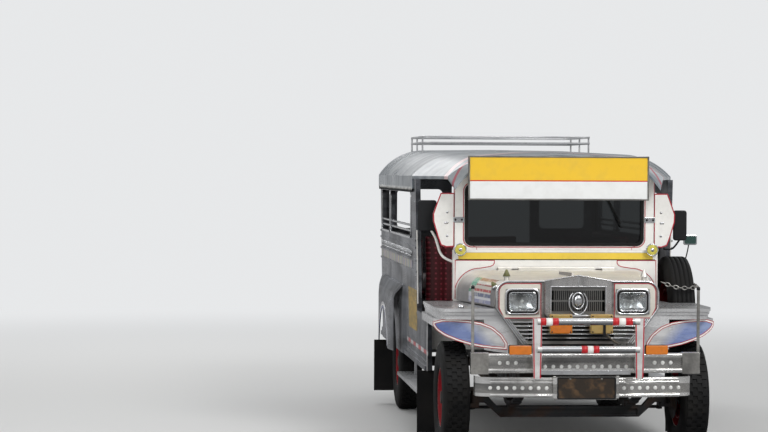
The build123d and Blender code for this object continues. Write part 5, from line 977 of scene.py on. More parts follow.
def buildNose():
    for side, tag in bothSides:
        lampAt(side, tag)
        x, z = side * nose["lampX"], nose["lampZ"]
        wide, tall = (nose[label] + nose["holeGrowth"] for label in ("lampWidth", "lampHeight"))
        hole = roundedBox(x, z, wide, tall, nose["holeCorner"], nose["lampSteps"])
        outline = mirrored(noseOutline(nose["panelInset"]), side)
        loops = [spokes(loop, x, z) for loop in (outline, hole)]
        ring("lampPanel" + tag, *loops, *nose["panelY"], "creamPaint", bevel=0.0005)
    lining = {"width": nose["liningWidth"], "lift": nose["liningLift"], "closed": True}
    stripePair("lampLining%s", noseOutline(0), nose["liningY"], **lining)
    y = nose["beadY"]
    tube("noseBead", [(x, y, z) for x, z in noseRim()], nose["beadRadius"], "chrome")
    # bright lips over the louvre slots and a beam under the lamps
    for row in range(nose["louvreCount"]):
        z = nose["louvreFirst"] + row * nose["louvrePitch"] + nose["louvreHeight"] / 2 + nose["lipRise"]
        reach = nose["lipHalf"] + (z - nose["foot"]) * nose["taper"]
        lip = [(x, y - 0.0005, z) for x in (-reach, reach)]
        tube("louvreLip%d" % (row + 1), lip, nose["lipRadius"], "chrome")
    for side, tag in bothSides:
        for row in (1, 2):
            foot = nose["footHalf"] - nose["beadStep"] * row
            low, high = nose["foot"] + nose["taperRise"], nose["taperTop"]
            taper = mirrored([(foot, y, low), (foot + nose["taperRun"], y, high)], side)
            tube("taperBead%d%s" % (row, tag), taper, nose["taperRadius"], "chrome")
    for name, radius, path in nose["wires"]:
        tube(name, path, radius, "chrome")
    loops = rectangle(*nose["lipOuter"]), rectangle(*nose["lipInner"])
    ring("shellLip", *loops, *nose["lipY"], "stainless", bevel=0.002)
    # plain ring and oval boss on the grille, in an open loop of plain wire
    (radius, wire), z = nose["bossRing"], nose["bossZ"]
    turns = [math.tau * i / 10 for i in range(10)]
    section = [(radius + wire * math.cos(a), wire * math.sin(a)) for a in turns]
    stretched(lathe("grilleBossRing", section, (0, -2.285, z), "Y", 48, closed=True), nose["bossShape"])
    stretched(lathe("grilleBossDome", nose["dome"], (0, -2.284, z), "Y", 40), nose["domeShape"])
    (wide, tall), z = nose["loopHalf"], z - nose["loopDrop"]
    turns = [math.radians(125 + 290 * i / 16) for i in range(17)]
    loop = [(wide * math.cos(a), -2.286, z + tall * math.sin(a)) for a in turns]
    tube("grilleLoop", loop, 0.0055, "chrome", smoothPath=True)


buildNose()
print("nose done")


# Fog lamps
fogs = {
    "innerX": 0.061, "outerX": 0.214, "shift": 0.012, "bottom": 0.846, "top": 0.979, "front": -2.368,
    "back": -2.290, "split": 0.912, "screwInset": 0.014,
    "round": (0.689, 1.377),
    "roundParts": (
        # part, segments, material, profile
        ("Bucket", 48, "chrome", (
            (0.0, -1.274), (0.018, -1.2745), (0.034, -1.279), (0.0415, -1.288), (0.044, -1.300),
            (0.0455, -1.304), (0.0455, -1.311), (0.041, -1.3145), (0.0385, -1.3125), (0.0375, -1.306),
            (0.0, -1.306))),
        ("Lens", 48, "yellowLens", (
            (0.0, -1.3158), (0.012, -1.3155), (0.024, -1.3145), (0.033, -1.3125), (0.038, -1.3095),
            (0.038, -1.3065), (0.0, -1.3062))),
        ("Cap", 28, "chrome", (
            (0.0, -1.3205), (0.008, -1.3195), (0.0135, -1.3165), (0.0145, -1.313), (0.0, -1.312))),
    ),
}


def buildFogs():
    front, back, inset = fogs["front"], fogs["back"], fogs["screwInset"]
    low, split, high, width = fogs["bottom"], fogs["split"], fogs["top"], fogs["outerX"] - fogs["innerX"]
    for side, tag in bothSides:
        x = side * (fogs["innerX"] + fogs["outerX"]) / 2 + fogs["shift"]
        case = roundedBox(x, (low + high) / 2, width, high - low, 0.010)
        plate("fogCase" + tag, case, front + 0.012, back, "tanLens", slot="dark_plastic", bevel=0.003)
        panes = (
            ("Upper", split + 0.004, high - 0.004, "tanLens"),
            ("Lower", low + 0.004, split - 0.002, "amberLens" if side < 0 else "tanLens"),
        )
        for part, foot, top, coat in panes:
            pane = roundedBox(x, (foot + top) / 2, width - 0.008, top - foot, 0.007)
            plate("fogPane" + part + tag, pane, front, front + 0.014, coat, bevel=0.004)
        out = width / 2 - inset
        spots = [(x + dx * out, front, z) for dx in (1, -1) for z in (low + inset, high - inset)]
        addDomes("fogScrews" + tag, spots, 0.0055, "darkPlastic", (1.0, 0.5, 1.0), replaces=["fog_lamps"])
        # round yellow lamp on the cowl
        roundX, roundZ = fogs["round"]
        for part, segments, coat, profile in fogs["roundParts"]:
            dress(lathe("roundFog" + part + tag, profile, (side * roundX, 0, roundZ), "Y", segments), coat)
    bracket = roundedBox(0.165, 0.875, 0.018, 0.100, 0.002)
    plate("fogBracket", bracket, -2.3745, -2.369, "darkPlastic", bevel=0.001)


buildFogs()
print("fog lamps done")


# Bumpers, push bar and plate
bumpers = {
    "rivet": 0.0135, "centreZ": 0.648, "centreY": -2.6122, "sideZ": 0.672, "sideY": -2.5985,
    "centreX": [-0.270 + 0.054 * i for i in range(11)], "sideX": (0.462, 0.516, 0.570),
    "lowerX": [0.258 + 0.053 * i for i in range(8)], "lowerZ": 0.505, "lowerY": -2.6100, "bowRadius": 4.7402,
    "pairs": (
        # name, middle X and Z, width, height, corner, front, back, material, slot, bevel
        ("bumperCap", 0.704, 0.669, 0.116, 0.138, 0.006, -2.6140, -2.6118, "hammeredSteel", None, 0.001),
        ("plateUpright", 0.2105, 0.512, 0.020, 0.150, 0.003, -2.6322, -2.6232, "bumperSteel", None, 0.003),
        ("turnSignalLens", 0.451, 0.766, 0.146, 0.060, 0.009, -2.7398, -2.722, "amberLens", None, 0.006),
        ("turnSignalBase", 0.451, 0.766, 0.150, 0.064, 0.011, -2.7235, -2.685, "darkPlastic", None, 0.003),
        ("tailLampLens", 0.76, 1.055, 0.102, 0.182, 0.014, 2.53, 2.5438, "redLens", None, 0.006),
        ("tailLampBase", 0.76, 1.055, 0.110, 0.190, 0.016, 2.5105, 2.531, "chrome", "dark_plastic", 0.003),
    ),
    "plateY": -2.6252, "plateMid": (0.004, 0.506), "plateSize": (0.390, 0.146), "plateLip": 0.016,
    "lining": (
        # part, X at the top, X at the foot
        ("Inner", 0.339 - 0.0265, 0.339 - 0.020), ("Outer", 0.339 + 0.0265, 0.339 + 0.020),
    ),
    "postTop": 0.969, "postFoot": 0.580, "postY": -2.7284,
    "tubeY": -2.717, "tubeRadius": 0.023, "upperTube": 0.951, "lowerTube": 0.768, "sleeveHalf": 0.3085,
    "tapeLift": 0.0018,
    "rods": (
        # side, X, top
        ("Left", 0.755, 1.172), ("Right", -0.749, 1.180),
    ),
    "rodY": -2.588, "rodRadius": 0.0105,
    "rodTip": (
        (0.0, 0.004), (0.006, 0.003), (0.0112, -0.002), (0.0122, -0.008), (0.0122, -0.020), (0.0, -0.020),
    ),
    "tape": (
        # bar, from X, to X, material
        ("upper", -0.319, -0.282, "tapeRed"), ("upper", -0.282, -0.240, "whitePaint"),
        ("upper", -0.240, -0.200, "tapeRed"), ("upper", 0.158, 0.200, "tapeRed"),
        ("upper", 0.200, 0.244, "whitePaint"), ("upper", 0.244, 0.290, "tapeRed"),
        ("lower", -0.047, -0.007, "tapeRed"), ("lower", -0.007, 0.031, "whitePaint"),
        ("lower", 0.031, 0.069, "tapeRed"),
    ),
}


def bowedY(x):
    return bumpers["lowerY"] + bumpers["bowRadius"] - math.sqrt(bumpers["bowRadius"] ** 2 - x * x)


def wornBlank(name):
    material, tree = startMaterial(name, "2e251c", 0.5)
    patches = cloud(tree, 16, low=0.5, high=0.78)
    colour, rough = overlaid(tree, patches, 0.55, paint("2e251c"), "8a6336"), ranged(tree, patches, 0.35, 0.7)
    return complete(material, colour, rough, bumped(tree, cloud(tree, 70, detail=3), 0.2, 0.001))


def buildPlate():  # blank, with a raised rim
    front, (x, z), (wide, tall) = bumpers["plateY"], bumpers["plateMid"], bumpers["plateSize"]
    inner = roundedBox(x, z, wide - bumpers["plateLip"], tall - bumpers["plateLip"], 0.008)
    outer = roundedBox(x, z, wide, tall, 0.010)
    ring("plateRim", outer, inner, front - 0.0045, front + 0.001, "darkPlastic", bevel=0.001)
    plate("plateFace", inner, front - 0.0015, front + 0.001, "plateBlank")
    addDomes("plateScrews", [(side * 0.105, front - 0.0015, 0.566) for side in (1, -1)], 0.007, "dullSteel")


def buildBumpers():
    rows = [(x, bumpers["centreY"], bumpers["centreZ"]) for x in bumpers["centreX"]]
    rows += [(side * x, bumpers["sideY"], bumpers["sideZ"]) for side in (1, -1) for x in bumpers["sideX"]]
    addDomes("upperBumperRivets", rows, bumpers["rivet"], "rivetSteel")
    lower = [(side * x, bowedY(x), bumpers["lowerZ"]) for side in (1, -1) for x in bumpers["lowerX"]]
    addDomes("lowerBumperRivets", lower, bumpers["rivet"], "rivetSteel")
    plate("bumperStrip", rectangle(-0.298, 0.298, 0.595, 0.622), -2.6140, -2.6118, "chrome", bevel=0.001)
    for *shape, slot, bevel in bumpers["pairs"]:
        platePair(*shape, slot=slot, bevel=bevel)
    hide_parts("signal_lamps")
    y, radius, half = bumpers["tubeY"], bumpers["tubeRadius"], bumpers["sleeveHalf"]
    for bar in ("upper", "lower"):
        path = [(x, y, bumpers[bar + "Tube"]) for x in (-half, 0.0, half)]
        tube("barSleeve" + bar.title(), path, radius + 0.0004, "chrome", sides=8)
    outer = radius + bumpers["tapeLift"]
    for bar, low, high, coat in bumpers["tape"]:
        name = "tape%s%d" % (bar.title(), round(1000 * (low + 1)))
        profile = [(radius, low), (outer, low), (outer, high), (radius, high)]
        dress(lathe(name, profile, (0, y, bumpers[bar + "Tube"]), "X", 28, closed=True), coat)
    for part, top, foot in bumpers["lining"]:  # down both edges of the push bar's posts
        line = [(foot, bumpers["postFoot"]), (top, bumpers["postTop"])]
        stripePair("postLining%s" + part, line, bumpers["postY"], 0.007)
    y = bumpers["rodY"]
    for tag, x, top in bumpers["rods"]:
        rod = [(x, y, 0.600), (x, y, 0.9), (x, y, top)]
        tube("cornerRod" + tag, rod, bumpers["rodRadius"], "hammeredSteel")
        tip = lathe("cornerRodTip" + tag, bumpers["rodTip"], (x, y, top), "Z", 20)
        dress(tip, "darkPlastic", slot="black_rubber")
    brace = [(0.175, -2.30, 0.845), (0.215, -2.52, 0.80), (0.228, -2.60, 0.792)]
    tube("fogBrace", brace, 0.008, "dullSteel")


finish["plateBlank"] = wornBlank("plateBlank")
buildPlate()
buildBumpers()
print("bumpers done")


# Front wings with painted leaves
wing = {
    "lower": (
        (0.482, 0.742), (0.56, 0.748), (0.64, 0.757), (0.717, 0.771), (0.80, 0.795), (0.88, 0.826),
        (0.935, 0.862), (0.9555, 0.893),
    ),
    "upper": (
        (0.482, 0.776), (0.516, 0.828), (0.577, 0.879), (0.652, 0.908), (0.742, 0.921), (0.82, 0.925),
        (0.90, 0.924), (0.9555, 0.908),
    ),
    "blueFrom": 0.585, "blueSlope": -0.9, "columns": 28, "rows": 7,
    "front": ((0.440, -2.236), (0.717, -2.214), (0.958, -2.110)),  # three points of the front's arc
    "edges": (
        # part, width, lift, material
        ("White", 0.009, 0.0026, "whitePaint"), ("Red", 0.018, 0.0020, "redPaint"),
    ),
    "knob": ((0.0, 1.036), (0.010, 1.034), (0.019, 1.026), (0.022, 1.016), (0.018, 1.008), (0.0, 1.008)),
    "knobSpot": (-0.780, station(0.094), 0),
}


def wingArc():
    (x1, y1), (x2, y2), (x3, y3) = wing["front"]
    d = 2 * (x1 * (y2 - y3) + x2 * (y3 - y1) + x3 * (y1 - y2))
    s1, s2, s3 = x1 * x1 + y1 * y1, x2 * x2 + y2 * y2, x3 * x3 + y3 * y3
    cx = (s1 * (y2 - y3) + s2 * (y3 - y1) + s3 * (y1 - y2)) / d
    cy = (s1 * (x3 - x2) + s2 * (x1 - x3) + s3 * (x2 - x1)) / d
    return cx, cy, math.hypot(x1 - cx, y1 - cy)


arcX, arcY, arcR = wingArc()


def wingSpot(x, z, side, lift):
    (startX, startY), normal = wing["front"][0], Vector((0, -1, 0))
    y = startY
    if x > startX:
        y = arcY - math.sqrt(max(arcR ** 2 - (x - arcX) ** 2, 0))
        normal = Vector((x - arcX, y - arcY, 0)).normalized()
    spot = Vector((x, y, z)) + normal * lift
    return Vector((side * spot.x, spot.y, spot.z)), Vector((side * normal.x, normal.y, 0))


def heightAt(table, x):
    for (xa, za), (xb, zb) in zip(table, table[1:]):
        if xa <= x <= xb:
            return za + (zb - za) * (x - xa) / (xb - xa)
    return table[-1][1]


def leafPaint(name):  # silver towards the nose, blue towards the tip
    material, tree = startMaterial(name, "8494c4", 0.25, 0.35, Coat_Weight=0.3)
    axes, slope = split(tree), wing["blueSlope"]
    slant = reckon(tree, "MULTIPLY_ADD", axes["Z"], slope, reckon(tree, "ABSOLUTE", axes["X"]))
    start = wing["blueFrom"] + slope * 0.84
    sheen = cloud(tree, 3.2, (0.6, 0.6, 3.0), low=0.4, high=0.65)
    blue = between(tree, sheen, paint("6f82bd"), paint("9fadd2"))
    silver = between(tree, sheen, paint("f3f2f1"), paint("b9babd"))
    colour = between(tree, ranged(tree, slant, 0, 1, start + 0.02, start + 0.14), silver, blue)
    colour = overlaid(tree, cloud(tree, 20, low=0.5, high=0.8), 0.3, colour, "4d5058")
    normal = bumped(tree, cloud(tree, 5, detail=1), 0.3, 0.012)
    return complete(material, colour, ranged(tree, sheen, 0.2, 0.34), normal)


def buildWings():
    lower, upper, rows, columns = wing["lower"], wing["upper"], wing["rows"], wing["columns"]
    start, end = lower[0][0], lower[-1][0]
    places = [start + (end - start) * c / columns for c in range(columns + 1)]
    levels = [(x, heightAt(lower, x), heightAt(upper, x)) for x in places]
    outline = [(x, low) for x, low, high in levels] + [(x, high) for x, low, high in reversed(levels)]
    for side, tag in bothSides:
        points = [wingSpot(x, low + (high - low) * r / rows, side, lift)[0]
                  for lift in (0.0004, 0.0016) for x, low, high in levels for r in range(rows + 1)]
        dress(addPiece("leafPaint" + tag, points, sheetFaces(columns, rows)), "leafPaint")
        path, normals = zip(*[wingSpot(x, z, side, 0.0006) for x, z in outline])
        for part, width, lift, coat in wing["edges"]:
            ribbon("leafEdge" + part + tag, path, normals, width, lift, coat, closed=True, slot="red_rim")
    dress(lathe("ledgeKnob", wing["knob"], wing["knobSpot"], "Z", 24), "chrome")


finish["leafPaint"] = leafPaint("leafPaint")
buildWings()
print("wings done")


# Cowl, windshield, mirrors and sign
cab = {
    "cowlY": -1.2742, "frameY": -1.1982,
    "bands": (
        # name, half width, low, high, how far it stands out, material, bevel
        ("cowlBand", 0.70, 1.308, 1.354, 0.0012, "yellowPaint", 0.0),
        ("cowlBandShadow", 0.715, 1.302, 1.308, 0.003, "sealRubber", 0.001),
        ("cowlBandTop", 0.71, 1.354, 1.360, 0.003, "creamPaint", 0.001),
    ),
    "glassHalf": 0.636, "glassLow": 1.412, "glassHigh": 1.832,
    # lined panel whose inner side follows the hood's shoulder
    "arch": ((0.722, 1.300), (0.442, 1.300), (0.442, 1.280), (0.452, 1.265), (0.470, 1.256)),
    "archCentre": (0.544, 1.062), "archRadius": 0.182,
    "ear": (
        (0.722, 1.394), (0.722, 1.778), (0.818, 1.778), (0.844, 1.712), (0.874, 1.630), (0.873, 1.575),
        (0.838, 1.461), (0.815, 1.403), (0.775, 1.390),
    ),
    "linings": (
        # name, corners, width
        ("postPinstripe%s", ((0.7215, 1.380), (0.7215, 1.86)), 0.004),
        ("sillPinstripe%s", ((0.560, 1.362), (0.560, 1.392), (0.585, 1.398)), 0.003),
    ),
    "earInset": 0.004, "earWidth": 0.008, "cowlWidth": 0.0055,
    "latch": (0.690, 1.587, 0.076, 0.040, 0.006), "latchX": (0.668, 0.714), "latchZ": 1.587,
    "earScrews": ((0.772, 1.472), (0.772, 1.565), (0.786, 1.565), (0.772, 1.640)),
    "mirrors": (
        # side, middle X, middle Z, width, height
        ("Left", 0.9265, 1.548, 0.099, 0.218),
        ("Right", -0.907, 1.614, 0.134, 0.222),
    ),
    "smallMirror": (1.004, 1.443, 0.100, 0.072), "mirrorRim": 0.016,
    "caseY": (-1.1280, -1.1010), "glassY": (-1.1015, -1.0995),
    "smallRimY": (-1.1160, -1.1010), "smallGlassY": (-1.1175, -1.1155),
    "signOuter": (-0.645, 0.645, 1.730, 2.043), "signInner": (-0.634, 0.634, 1.741, 2.032),
    "signY": (-1.4065, -1.3775),
    "tubes": (
        # name, radius, material, path: the wiper, the bent arms and the small mirror's stalk
        ("wiperArm", 0.004, "sealRubber", (
            (0.345, -1.214, 1.812), (0.405, -1.2125, 1.70), (0.478, -1.209, 1.56))),
        ("wiperBlade", 0.0045, "sealRubber", (
            (0.375, -1.2065, 1.745), (0.420, -1.2055, 1.65), (0.482, -1.2045, 1.53))),
        ("mirrorArmRight", 0.0095, "whitePaint", (
            (-0.880, -1.1145, 1.510), (-0.851, -1.112, 1.467), (-0.836, -1.112, 1.421),
            (-0.814, -1.115, 1.341), (-0.775, -1.13, 1.302), (-0.715, -1.155, 1.281))),
        ("mirrorArmLeft", 0.007, "darkPlastic", (
            (0.925, -1.1145, 1.445), (0.90, -1.112, 1.405), (0.86, -1.13, 1.37), (0.80, -1.165, 1.380))),
        ("smallMirrorStalk", 0.0045, "sealRubber", (
            (0.994, -1.109, 1.412), (0.985, -1.112, 1.36), (0.962, -1.13, 1.29), (0.930, -1.16, 1.262))),
    ),
    "pivot": ((0.0, -0.014), (0.009, -0.013), (0.012, -0.008), (0.012, 0.004), (0.0, 0.004)),
    "pivotSpot": (0.345, -1.206, 1.822),
}


def inwards(corners, inset):  # shrink a convex outline towards its middle by about the inset
    midX = sum(x for x, z in corners) / len(corners)
    midZ = sum(z for x, z in corners) / len(corners)
    moved = []
    for x, z in corners:
        away = Vector((x - midX, z - midZ))
        moved.append((x - away.x / away.length * inset, z - away.y / away.length * inset))
    return moved


def aroundGlass(growth, corner, steps=5):
    low, high = cab["glassLow"], cab["glassHigh"]
    return roundedBox(0, (low + high) / 2, 2 * cab["glassHalf"] + growth, high - low + growth, corner, steps)


def buildCowl():
    y, (midX, midZ), radius = cab["cowlY"], cab["archCentre"], cab["archRadius"]
    for name, half, low, high, out, coat, bevel in cab["bands"]:
        plate(name, rectangle(-half, half, low, high), y - out, y + 0.0004, coat, bevel=bevel)
    turns = [math.radians(90 - 80 * step / 12) for step in range(13)]
    arch = [*cab["arch"], *((midX + radius * math.cos(a), midZ + radius * math.sin(a)) for a in turns)]
    stripePair("cowlArch%s", arch, y, cab["cowlWidth"], closed=True)
    stripePair("cowlBorder%s", [(0.722, 1.092), (0.722, 1.025)], y, cab["cowlWidth"])


def buildScreen():
    y, latchZ = cab["frameY"], cab["latchZ"]
    stripePair("earLining%s", inwards(cab["ear"], cab["earInset"]), y, cab["earWidth"], closed=True)
    for name, corners, width in cab["linings"]:
        stripePair(name, corners, y, width)
    faceStripe("screenLining", aroundGlass(0.040, 0.06, 8), y, 0.006, closed=True)
    ring("screenSeal", aroundGlass(0.024, 0.052), aroundGlass(-0.026, 0.032), y - 0.006, -1.185, "sealRubber",
         bevel=0.003)
    # latch bracket between frame and ear
    platePair("screenLatch", *cab["latch"], y - 0.006, y + 0.001, "chrome", bevel=0.002)
    for side, tag in bothSides:
        knobs = [(side * x, y - 0.008, latchZ) for x in cab["latchX"]]
        addDomes("latchKnobs" + tag, knobs, 0.0075, "sealRubber", (1.0, 0.6, 1.0))
        addDomes("earScrews" + tag, [(side * x, y, z) for x, z in cab["earScrews"]], 0.009, "chrome")
    dress(lathe("wiperPivot", cab["pivot"], cab["pivotSpot"], "Y", 20), "darkSlats")


def buildMirrors():
    rim = cab["mirrorRim"]
    for tag, x, z, wide, tall in cab["mirrors"]:  # dark housings whose glass looks back
        case = roundedBox(x, z, wide, tall, 0.020, 6)
        glass = roundedBox(x, z, wide - rim, tall - rim, 0.014, 6)
        plate("mirrorHousing" + tag, case, *cab["caseY"], "darkPlastic", bevel=0.009)
        plate("mirrorGlass" + tag, glass, *cab["glassY"], "chrome")
    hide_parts("mirrors")
    for name, radius, coat, path in cab["tubes"]:  # the wiper's own are straight, the others bent
        tube(name, path, radius, coat, smoothPath=not name.startswith("wiper"))
    x, z, wide, tall = cab["smallMirror"]
    case = roundedBox(x, z, wide, tall, 0.014, 6)
    plate("smallMirrorRim", case, *cab["smallRimY"], "chrome", bevel=0.004)
    glass = roundedBox(x, z, wide - rim, tall - rim, 0.010, 6)
    plate("smallMirrorFace", glass, *cab["smallGlassY"], "mirrorGreen")
    loops = rectangle(*cab["signOuter"]), rectangle(*cab["signInner"])
    ring("signEdge", *loops, *cab["signY"], "dullSteel", bevel=0.0015)


buildCowl()
buildScreen()
buildMirrors()
print("cab front done")


# Hood dressing
hoodSheet = {
    "front": 0.15, "rear": 0.66, "low": 1.012, "high": 1.195, "rows": 14, "columns": 12,
    "inside": 0.136, "rayZ": 1.060, "rayFrom": 0.4, "lowAngle": -19, "highAngle": 60,
    "halves": ((0.04, 0.553), (0.962, 0.714)),  # station, half width of the hood
    "bands": [
        (0.0, "8d90b4"), (0.22, "d5d6dc"), (0.32, "4b587f"), (0.46, "cfcac2"), (0.52, "b8332c"),
        (0.62, "dcd5c9"), (0.74, "a8453f"), (0.79, "e0d9cc"), (0.9, "b98a70"),
    ],
    "rearBands": [(0.0, "9a9cba"), (0.3, "c9c9cf"), (0.46, "3f8f6c"), (0.58, "d3cec4"), (0.7, "62b394")],
    "sideCone": ((0.0, 0.045), (0.006, 0.044), (0.022, 0.012), (0.0, 0.012)),
    "sideFoot": (
        (0.0, 0.013), (0.024, 0.013), (0.027, 0.008), (0.025, 0.003), (0.028, -0.006), (0.0, -0.006),
    ),
    "sideSpot": (-0.548, station(0.085), 1.150), "sideLean": -32,
    "cone": ((0.0, 1.2718), (0.0058, 1.2706), (0.0264, 1.2245), (0.0, 1.2245)),
    "coneSpot": (-0.470, station(0.100), 0),
}


def stickerColours(tree):
    axes = split(tree)
    height = ranged(tree, axes["Z"], 0, 1, hoodSheet["low"], hoodSheet["high"])
    rearEnd = ranged(tree, axes["Y"], 0, 1, station(0.52), station(0.54))
    bands, rearBands = (bandStops(tree, height, hoodSheet[label]) for label in ("bands", "rearBands"))
    return between(tree, rearEnd, bands, rearBands)


def hoodHalfAt(place):
    (front, narrow), (rear, wide) = hoodSheet["halves"]
    return narrow + (wide - narrow) * (place - front) / (rear - front)


def buildHood():
    solid = nodes["hood"]
    corners = [solid.matrix_world @ v.co for v in solid.data.vertices]
    skin = BVHTree.FromPolygons(corners, [p.vertices[:] for p in solid.data.polygons])
    columns, rows = hoodSheet["columns"], hoodSheet["rows"]
    points = []
    for lift in (0.0006, 0.0018):
        for c in range(columns + 1):
            place = hoodSheet["front"] + (hoodSheet["rear"] - hoodSheet["front"]) * c / columns
            middle = Vector((hoodSheet["inside"] - hoodHalfAt(place), station(place), hoodSheet["rayZ"]))
            for r in range(rows + 1):
                span = hoodSheet["highAngle"] - hoodSheet["lowAngle"]
                angle = math.radians(hoodSheet["lowAngle"] + span * r / rows)
                away = Vector((-math.cos(angle), 0, math.sin(angle)))
                spot, normal = skin.ray_cast(middle + away * hoodSheet["rayFrom"], -away)[:2]
                points.append(spot + normal * lift)
    dress(addPiece("flankPanel", points, sheetFaces(columns, rows)), "flankPanel", "hood")
    dress(lathe("paintedCone", hoodSheet["cone"], hoodSheet["coneSpot"], "Z", 28), "olivePaint", "hood")
    lean = Matrix.Rotation(math.radians(hoodSheet["sideLean"]), 4, "Y")
    for part, coat in (("sideCone", "olivePaint"), ("sideFoot", "chrome")):
        ornament = lathe(part, hoodSheet[part], (0, 0, 0), "Z", 28)
        ornament.data.transform(Matrix.Translation(hoodSheet["sideSpot"]) @ lean)
        dress(ornament, coat, "hood")


finish["flankPanel"] = blotchedBands("flankPanel", stickerColours, 0.5, 0.56, 1, 0.4, "d8d5cd")
buildHood()
print("hood done")


# Sides
sides = {
    "wall": (
        # height, half width
        (0.588, 0.930), (0.910, 0.938), (1.875, 0.955),
    ),
    "panels": (
        # name, also of its material, front station, rear station, low, high
        ("beltPanels", 1.90, 4.70, 1.204, 1.266),
        ("yellowPanel", 1.58, 2.23, 0.755, 1.058),
        ("sideTape", 0.80, 2.40, 0.634, 0.664),
    ),
    "screwInset": 0.03,  # of the yellow panel's screws from its corners
    "blocks": [
        (0.0, "b9b4a6"), (0.04, "4a4a5c"), (0.22, "a8953f"), (0.34, "5a4a78"), (0.5, "b9b4a6"),
        (0.54, "6e3a34"), (0.68, "3f6a5c"), (0.84, "93893c"),
    ],
    "blockRun": 0.62,  # metres before the painted blocks repeat
    "windows": (
        # name, front station, rear station
        ("Front", 1.960, 3.740), ("Rear", 3.830, 4.610),
    ),
    "windowLow": 1.440, "windowHigh": 1.775, "windowZ": 1.60, "railHeights": (1.482, 1.525),
    "frameDepths": (-0.004, 0.006), "railIn": 0.012, "railRadius": 0.009,
    "wheelY": 1.275, "wheelZ": 0.385, "flareX": 1.030,
    "flareLines": (
        # radius, width, material
        (0.445, 0.018, "bluePaint"), (0.462, 0.012, "whitePaint"), (0.478, 0.014, "chrome"),
    ),
    "fringeZ": 1.806,
}


def wallX(z):
    (sill, low), (belt, middle), (drip, high) = sides["wall"]
    if z < belt:
        return low + (middle - low) * max(0, z - sill) / (belt - sill)
    return middle + (high - middle) * (z - belt) / (drip - belt)


def sidePlate(name, front, rear, low, high, side, material):
    points = [(side * (wallX(z) + out), station(place), z)
              for out in (0.0002, 0.0015) for place in (front, rear) for z in (low, high)]
    faces = [(0, 1, 3, 2), (4, 5, 7, 6), (0, 1, 5, 4), (2, 3, 7, 6), (0, 2, 6, 4), (1, 3, 7, 5)]
    return dress(addPiece(name, points, faces), material)


def blockColours(tree):
    place = reckon(tree, "FLOORED_MODULO", split(tree)["Y"], sides["blockRun"])
    return bandStops(tree, ranged(tree, place, 0, 1, 0, sides["blockRun"]), sides["blocks"])


def yellowSheet(name):
    material, tree = startMaterial(name, "9c8238", 0.45)
    wave = cloud(tree, 7, (1, 1, 6), low=0.42, high=0.6)
    colour = overlaid(tree, wave, 0.7, paint("ae8f3a"), "7c6a34")
    return complete(material, overlaid(tree, cloud(tree, 24, low=0.52, high=0.8), 0.5, colour, "7a5424"))


def buildWindows(side, tag):  # chrome frames, each with two rails across its foot
    low, high, x = sides["windowLow"], sides["windowHigh"], wallX(sides["windowZ"])
    for part, front, rear in sides["windows"]:
        mid, width = station((front + rear) / 2), rear - front
        outer = roundedBox(mid, (low + high) / 2, width + 0.030, high - low + 0.030, 0.052)
        inner = roundedBox(mid, (low + high) / 2, width - 0.002, high - low - 0.002, 0.040)
        depths = [side * (x + out) for out in sides["frameDepths"]]
        ring("windowFrame" + part + tag, outer, inner, *depths, "chrome", "YZ", bevel=0.002)
        for row, z in enumerate(sides["railHeights"]):
            spot = side * (x - sides["railIn"])
            rail = [(spot, station(place), z) for place in (front + 0.002, rear - 0.002)]
            tube("windowRail%s%d%s" % (part, row + 1, tag), rail, sides["railRadius"], "chrome")


def buildSides():
    inset, sideways = sides["screwInset"], (0.5, 1.0, 1.0)
    front, rear, low, high = {name: extent for name, *extent in sides["panels"]}["yellowPanel"]
    screws = [(wallX(z) + 0.001, station(place), z)
              for place in (front + inset, rear - inset) for z in (low + inset, high - inset)]
    rivets = [(wallX(z) + 0.0005, station(1.62), z) for z in [0.62 + 0.09 * i for i in range(13)]]
    scrollRow = [(wallX(1.324) + 0.003, station(1.93 + 0.058 * i), 1.323) for i in range(48)]
    trim = [(wallX(z) - 0.006, station(1.5475), z) for z in (1.50, 1.30, 1.10, 0.96)]
    scallops = [(0.962, station(1.73 + 0.06 * i), sides["fringeZ"]) for i in range(52)]
    dots = [(0.9665, station(1.76 + 0.12 * i), sides["fringeZ"]) for i in range(25)]
    turns = [math.radians(a) for a in range(20, 161, 5)]
    for side, tag in bothSides:
        for name, *extent in sides["panels"]:
            sidePlate(name + tag, *extent, side, name)
        addDomes("yellowPanelScrews" + tag, mirrored(screws, side), 0.007, "dullSteel", sideways)
        addDomes("pillarRivets" + tag, mirrored(rivets, side), 0.006, "chrome", sideways)
        # scroll work between the belt ribs
        values = {"Radius": 0.027, "Side": float(side)}
        wire = grow("scrollTrim" + tag, scrolls, dotBase(mirrored(scrollRow, side)), values, "chrome")
        dress(wire, "chrome")
        buildWindows(side, tag)
        # pale trim down the door opening's rear edge
        tube("doorTrim" + tag, mirrored(trim, side), 0.0055, "whitePaint")
        # lines round the wheel opening of the rear wing
        for row, (radius, width, coat) in enumerate(sides["flareLines"]):
            arc = [Vector((side * sides["flareX"], sides["wheelY"] + radius * math.cos(a),
                           sides["wheelZ"] + radius * math.sin(a))) for a in turns]
            facing = [Vector((side, 0, 0))] * len(arc)
            ribbon("flareLine%d%s" % (row + 1, tag), arc, facing, width, 0.0015, coat, slot="stainless")
        # scalloped fringe under the valance
        addStuds("valanceFringe" + tag, mirrored(scallops, side), 0.029, 0.006, 14, "darkPlastic")
        addDomes("valanceDots" + tag, mirrored(dots, side), 0.014, "whitePaint", (0.3, 1.0, 1.0))


